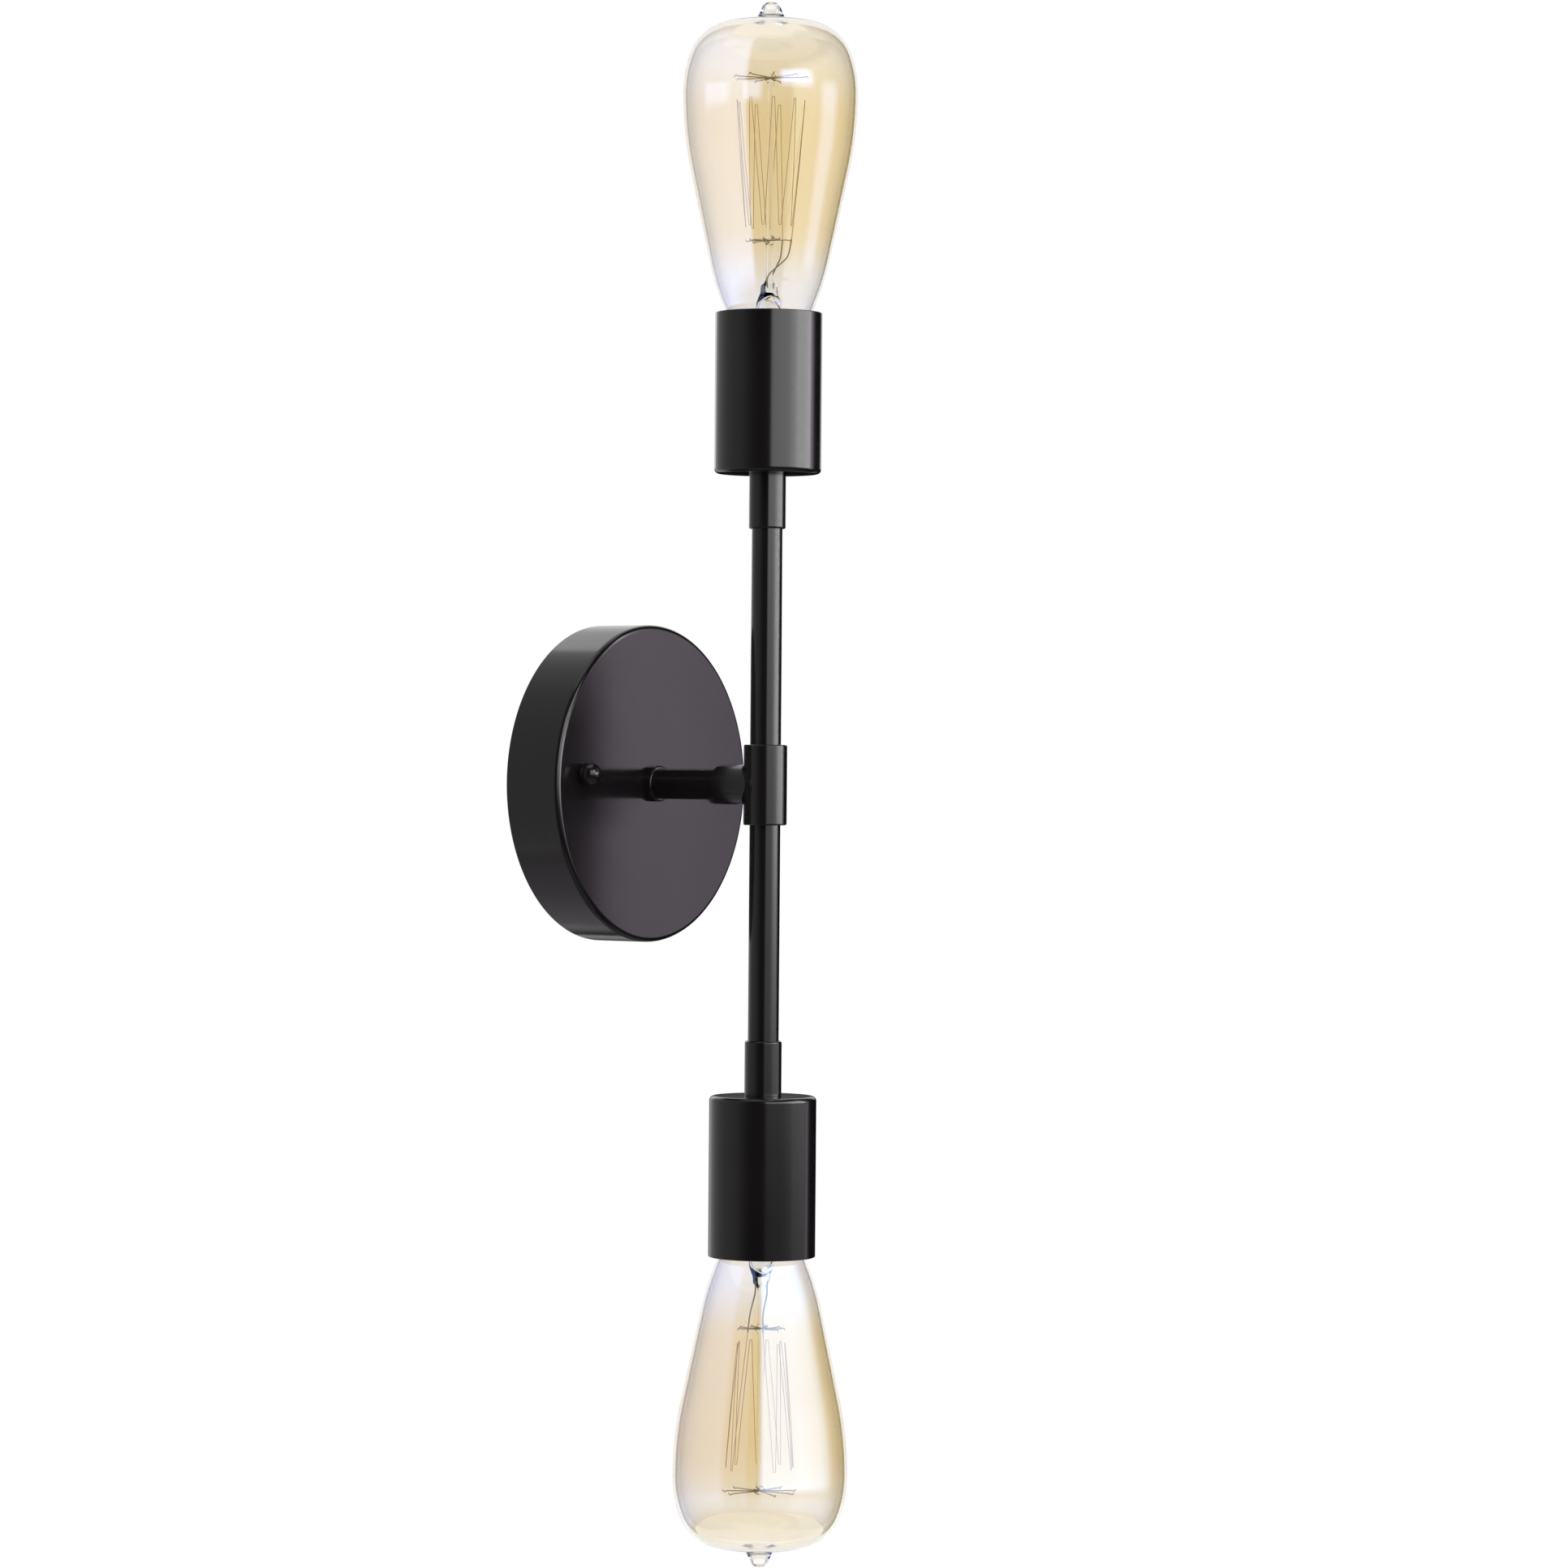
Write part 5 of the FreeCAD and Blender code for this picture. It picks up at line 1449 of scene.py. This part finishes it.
DAYLIGHT = (0.41, 0.56, 1.0)
SKYLIGHT = (0.3, 0.46, 1.0)
GLASSES = ("upper_glass", "lower_glass")
BEHIND = ((150, 1), (210, 1))
BEHIND_HEIGHTS = (
    (-1.3, 0), (-0.9, 0), (-0.6, 0.7), (-0.44, 0.86), (-0.3, 1), (0.08, 1), (0.2, 0),
)
CARDS = (
    Card(
        "black_screen", ((-150, 1), (152, 1)), ((-1.3, 1), (2.7, 1), (3.3, 0)), distance=1.6,
        glow=0, cover=1,
    ),
    Card("black_backdrop", BEHIND, BEHIND_HEIGHTS, distance=1.7, glow=0, cover=1),
    Card("white_backdrop", BEHIND, BEHIND_HEIGHTS, WHITE, GLASSES),
    flag(
        "black_flag", ((96, 0), (100, 1), (113.3, 1), (115.5, 0)),
        ((-0.16, 0), (-0.09, 1), (0.03, 1), (0.1, 0))),
    # Black screen mirrored only in the canopy's face, just under a cap nut: a painted shadow of the nut.
    flag(
        "black_flag_low", ((110, 0), (112, 1), (114.5, 1), (118, 0)),
        ((-0.022, 0), (-0.014, 1), (-0.004, 1), (0.006, 0))),
    flag(
        "black_flag_above", ((48, 0), (58, 1), (98, 1), (106, 0)),
        ((0.035, 0), (0.09, 1), (0.6, 1), (0.8, 0))),
    Card(
        "left_floor_light",
        ((-170, 0), (-160, 0.25), (-139, 0.26), (-111, 0.22), (-89, 0.24), (-70, 0)),
        ((-1.4, 1), (-0.85, 1), (-0.5, 0)), (1, 0.9, 1.02), ("metal",), distance=0.9,
    ),
    Card(
        "left_wall",
        ((-170, 0), (-155, 0.8), (-148, 0.9), (-131, 0.66), (-110, 0.55), (-93, 0.46), (-66, 0.38),
         (-56, 0.34), (-46, 0.2), (-34, 0.06), (-20, 0)),
        ((-1.3, 0), (-1.1, 1), (2, 1), (3.2, 0.4)), seen_by=("metal",),
    ),
    Card(
        "front_window",
        ((4, 0), (9, 2.5), (14, 2.7), (36, 2.95), (46, 3.2), (52, 4.1), (68, 4.1), (74, 0)),
        ((-0.62, 0.03), (-0.3, 0.08), (-0.24, 0.12), (-0.2, 0.24), (-0.17, 0.3), (-0.05, 0.35),
         (-0.02, 0.57), (0.12, 0.6), (0.15, 0.93), (0.18, 1), (1.1, 1), (1.3, 0)),
        seen_by=("metal",),
    ),
    Card(
        "side_window",
        ((55, 0), (66, 1.4), (73, 5.6), (88, 5.8), (102, 5.8), (106, 1.3), (110, 0)),
        ((-0.62, 0.04), (-0.32, 0.1), (-0.27, 0.16), (-0.23, 0.19), (-0.17, 0.22), (-0.115, 0.43),
         (-0.067, 0.58), (-0.044, 0.75), (-0.02, 1), (1.1, 1), (1.3, 0)),
        seen_by=("metal",),
    ),
    Card(
        "wall_glow", ((105, 0), (107.5, 1.3), (112, 1.25), (118, 0.1), (124, 0)),
        ((-0.62, 0.3), (-0.22, 1), (1.1, 1), (1.3, 0)), colour=(1, 0.84, 1.03), seen_by=("metal",),
    ),
    Card(
        "upper_left_daylight",
        ((-150, 0.6), (-140, 1), (-120, 2.2), (-90, 4.6), (-60, 5.5), (-35, 5.7), (-28, 0)),
        ((-1.3, 0.05), (-0.8, 0.2), (-0.4, 1), (0.9, 1), (3.4, 0)), DAYLIGHT, ("upper_glass",),
    ),
    window(
        "upper", "high_window", ((10, 0), (18, 17), (48, 17), (62, 0)),
        ((0.4, 0), (0.5, 1), (0.72, 0.9), (0.86, 0))),
    window(
        "upper", "low_window",
        ((-98, 0), (-90, 4), (-62, 4.5), (-52, 0), (-38, 0), (-31, 9), (-16, 9), (-8, 0)),
        ((0.28, 0), (0.35, 1), (0.44, 1), (0.52, 0))),
    window(
        "upper", "side_window", ((66, 0), (76, 6), (90, 6), (102, 0)),
        ((-0.35, 0), (-0.1, 0.8), (0.4, 1), (0.6, 0))),
    Card(
        "lower_left_daylight",
        ((-150, 0.5), (-140, 0.8), (-120, 1.6), (-90, 3), (-56, 3.6), (-46, 1.6), (-18, 1.2), (-15, 0)),
        ((-1.3, 0), (-0.7, 1), (1.7, 1)), SKYLIGHT, ("lower_glass",),
    ),
    window(
        "lower", "right_daylight",
        ((-2, 0), (4, 14.5), (60, 13.5), (86, 10), (98, 6), (106, 2), (114, 0)),
        ((-1.3, 0), (-0.9, 0.16), (-0.66, 0.2), (-0.5, 1), (1.1, 1), (1.3, 0)), (0.41, 0.62, 0.97)),
    window(
        "lower", "floor_light",
        ((-150, 0.6), (-110, 1.2), (-60, 2.4), (60, 3.6), (100, 2.4), (130, 0)),
        ((-1.3, 0), (-1, 1), (-0.8, 1), (-0.55, 0))),
)


class Studio:
    """Camera, lamps, screens and floor.

    Args:
        bar: a point on the bar at its middle.
        groups: pieces by the name that the screens use for them.
    """

    AZIMUTH = -55.0
    ELEVATION = 0.3
    ROLL = 0.45
    DISTANCE = 1.9
    AIM_ASIDE = 0.0070
    AIM_ABOVE = 0.0004
    FOCAL_PIXELS = 6275.0
    IMAGE_PIXELS = 1932.0
    SENSOR = 36.0
    FLOOR_HEIGHT = -1.5
    FLOOR_RADIUS = 3.2
    FLOOR_TONE = 0.86
    FLOOR_FADE = (1.92, 3.04, 0.72, 1.0)  # from and to which distance, and how white there
    CARD_COLUMNS = 61
    CARD_ROWS = 25
    SOFT_LIGHT = 0.75
    LAMP_SIZE = 1.6
    LAMP_POWER = 22.0
    LAMP_PLACE = (0.9, 1.5, 1.9)

    def __init__(self, bar: Vector, groups: dict[str, list[bpy.types.Object]]) -> None:
        """Works out the camera's level directions: back, away from the sconce, and right."""
        self.bar = bar
        self.groups = groups
        azimuth = math.radians(self.AZIMUTH)
        self.back = Vector((math.sin(azimuth), -math.cos(azimuth), 0))
        self.right = Vector((math.cos(azimuth), math.sin(azimuth), 0))

    def build(self) -> None:
        """Makes everything round the object, in a view that shows colours as written."""
        bpy.context.scene.view_settings.view_transform = "Standard"
        self.camera()
        self.world()
        self.floor()
        self.key_lamp()
        for card in CARDS:
            self.card(card)

    def camera(self) -> None:
        """Camera at the photograph's angle, leaning by the photograph's small roll."""
        data = bpy.data.cameras.new("photo_camera")
        data.sensor_fit = "AUTO"
        data.sensor_width = self.SENSOR
        data.lens = self.FOCAL_PIXELS / self.IMAGE_PIXELS * self.SENSOR
        data.clip_start = 0.05
        data.clip_end = 50.0
        camera = add_object("photo_camera", data)
        elevation = math.radians(self.ELEVATION)
        back = self.back * math.cos(elevation) + Vector((0, 0, math.sin(elevation)))
        up = back.cross(self.right)
        roll = math.radians(self.ROLL)
        right_leaning = self.right * math.cos(roll) + up * math.sin(roll)
        up_leaning = up * math.cos(roll) - self.right * math.sin(roll)
        place = self.bar + self.right * self.AIM_ASIDE + up * self.AIM_ABOVE + back * self.DISTANCE
        turn = Matrix((right_leaning, up_leaning, back)).transposed().to_4x4()
        camera.matrix_world = Matrix.Translation(place) @ turn
        bpy.context.scene.camera = camera

    def world(self) -> None:
        """White surroundings for the camera, metal and glass, and softer light for the rest."""
        world = bpy.data.worlds.new("white_room")
        world.use_nodes = True
        world.cycles.sampling_method = "NONE"
        graph = Graph(world.node_tree)
        graph.tree.nodes.clear()
        soft = graph.add("Background", {"Color": WHITE, "Strength": self.SOFT_LIGHT})
        white = graph.add("Background", {"Color": WHITE, "Strength": 1.0})
        graph.add("OutputWorld", {"Surface": graph.either(graph.seen_directly(), soft, white)})
        bpy.context.scene.world = world

    def light_only(self, source: bpy.types.Object, names: Sequence[str]) -> None:
        """Lets an object's light reach only some pieces.

        Args:
            source: what gives the light.
            names: groups of the pieces that show it.
        """
        receivers = bpy.data.collections.new(source.name + "_receivers")
        for name in names:
            for piece in self.groups[name]:
                receivers.objects.link(piece)
        source.light_linking.receiver_collection = receivers

    def floor(self) -> None:
        """Pale floor well below the object, which fades into the white room at its edge."""
        rows = [(radius, 0.0) for radius in np.linspace(0, self.FLOOR_RADIUS / MM, 12)]
        level = Axis((0.0, 0.0, self.FLOOR_HEIGHT), (0.0, 0.0, 1.0), (1.0, 0.0, 0.0))
        floor = add_object("floor", turned(level, rows, columns=96, closed=False).mesh("floor"))
        material, graph = new_material("pale_floor")
        pale = graph.tree.nodes["Principled BSDF"]
        graph.set(pale, "Roughness", 0.9)
        graph.set(pale, "Base Color", (self.FLOOR_TONE,) * 3)
        white = graph.add("Emission", {"Color": WHITE, "Strength": 1.0})
        length = graph.add("VectorMath", {0: graph.place("Object")}, operation="LENGTH").outputs["Value"]
        edge = graph.share(length, *self.FLOOR_FADE)
        faded = graph.math("MULTIPLY", edge, graph.seen_directly())
        graph.set(graph.tree.nodes["Material Output"], "Surface", graph.either(faded, pale, white))
        floor.data.materials.append(material)
        floor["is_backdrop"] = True
        self.light_only(floor, GLASSES)

    def key_lamp(self) -> None:
        """One large soft lamp above the room side, which gives forms a light and a dark side."""
        data = bpy.data.lights.new("key_lamp", "AREA")
        data.shape = "DISK"
        data.size = self.LAMP_SIZE
        data.energy = self.LAMP_POWER
        lamp = add_object("key_lamp", data)
        right, back, up = self.LAMP_PLACE
        lamp.location = self.bar + self.back * back + self.right * right + Vector((0, 0, up))
        lamp.rotation_mode = "QUATERNION"
        lamp.rotation_quaternion = (lamp.location - self.bar).to_track_quat("Z", "Y")
        lamp.visible_camera = False
        lamp.visible_glossy = False
        lamp.visible_transmission = False

    def card(self, card: Card) -> None:
        """Adds one screen.

        Args:
            card: what it is.
        """
        angle, height = np.meshgrid(
            np.radians(np.linspace(card.across[0][0], card.across[-1][0], self.CARD_COLUMNS)),
            np.linspace(card.up[0][0], card.up[-1][0], self.CARD_ROWS),
        )
        facing = np.stack([np.cos(angle), np.sin(angle)], -1)
        flat = facing @ np.array([self.back, self.right])
        grid = np.array(self.bar) + card.distance * flat
        grid[..., 2] = height
        screen = add_object(card.name, Surface.from_grid(grid, wrap_columns=False).mesh(card.name))
        screen.data.materials.append(self.card_material(card))
        screen.visible_camera = False
        screen.visible_diffuse = False
        screen.visible_shadow = False
        screen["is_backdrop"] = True
        if card.seen_by:
            self.light_only(screen, card.seen_by)

    def card_material(self, card: Card) -> bpy.types.Material:
        """Light of a screen, which shows only in a reflection.

        Args:
            card: what the screen is.

        Returns:
            The material.
        """
        material, graph = new_material(card.name)
        material.cycles.emission_sampling = "NONE"
        graph.tree.nodes.clear()
        parts = graph.add("SeparateXYZ", {0: graph.place("UV")}).outputs
        light = graph.add("LightPath").outputs
        factors = [
            graph.curve(parts["X"], card.across),
            graph.curve(parts["Y"], card.up),
            graph.math("GREATER_THAN", light["Glossy Depth"], 0.5),
            graph.math("GREATER_THAN", light["Ray Length"], card.shortest),
        ]
        if card.front_only:
            factors.append(graph.math("LESS_THAN", light["Transmission Depth"], 0.5))
        tone = factors[0]
        for factor in factors[1:]:
            tone = graph.math("MULTIPLY", tone, factor)
        strength = graph.math("MULTIPLY", tone, card.glow)
        glow = graph.add("Emission", {"Color": card.colour, "Strength": strength})
        left = graph.math("SUBTRACT", 1.0, graph.math("MULTIPLY", tone, card.cover))
        clear = graph.add("BsdfTransparent", {"Color": left})
        both = graph.add("AddShader", {0: glow.outputs[0], 1: clear.outputs[0]})
        graph.add("OutputMaterial", {"Surface": both.outputs[0]})
        return material


def main() -> None:
    """Builds the sconce and its studio."""
    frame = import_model()
    shop = Workshop(frame)
    sides = make_sides()
    WallPlate(shop).build()
    Arm(shop).build()
    Tee(shop, sides[0].axis).build()
    for side in sides:
        BarEnd(shop, side).build()
        Bulb(shop, side).build()
    shop.dress_nodes()
    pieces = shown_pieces()
    groups = {"metal": [piece for piece in pieces if not piece.name.endswith("_bulb_envelope")]}
    for side in sides:
        glasses = (side.name + "_bulb_envelope", side.name + "_bulb_press_stem")
        groups[side.name + "_glass"] = [piece for piece in pieces if piece.name in glasses]
    Studio(Vector(sides[0].axis.origin), groups).build()


if __name__ == "__main__":
    main()
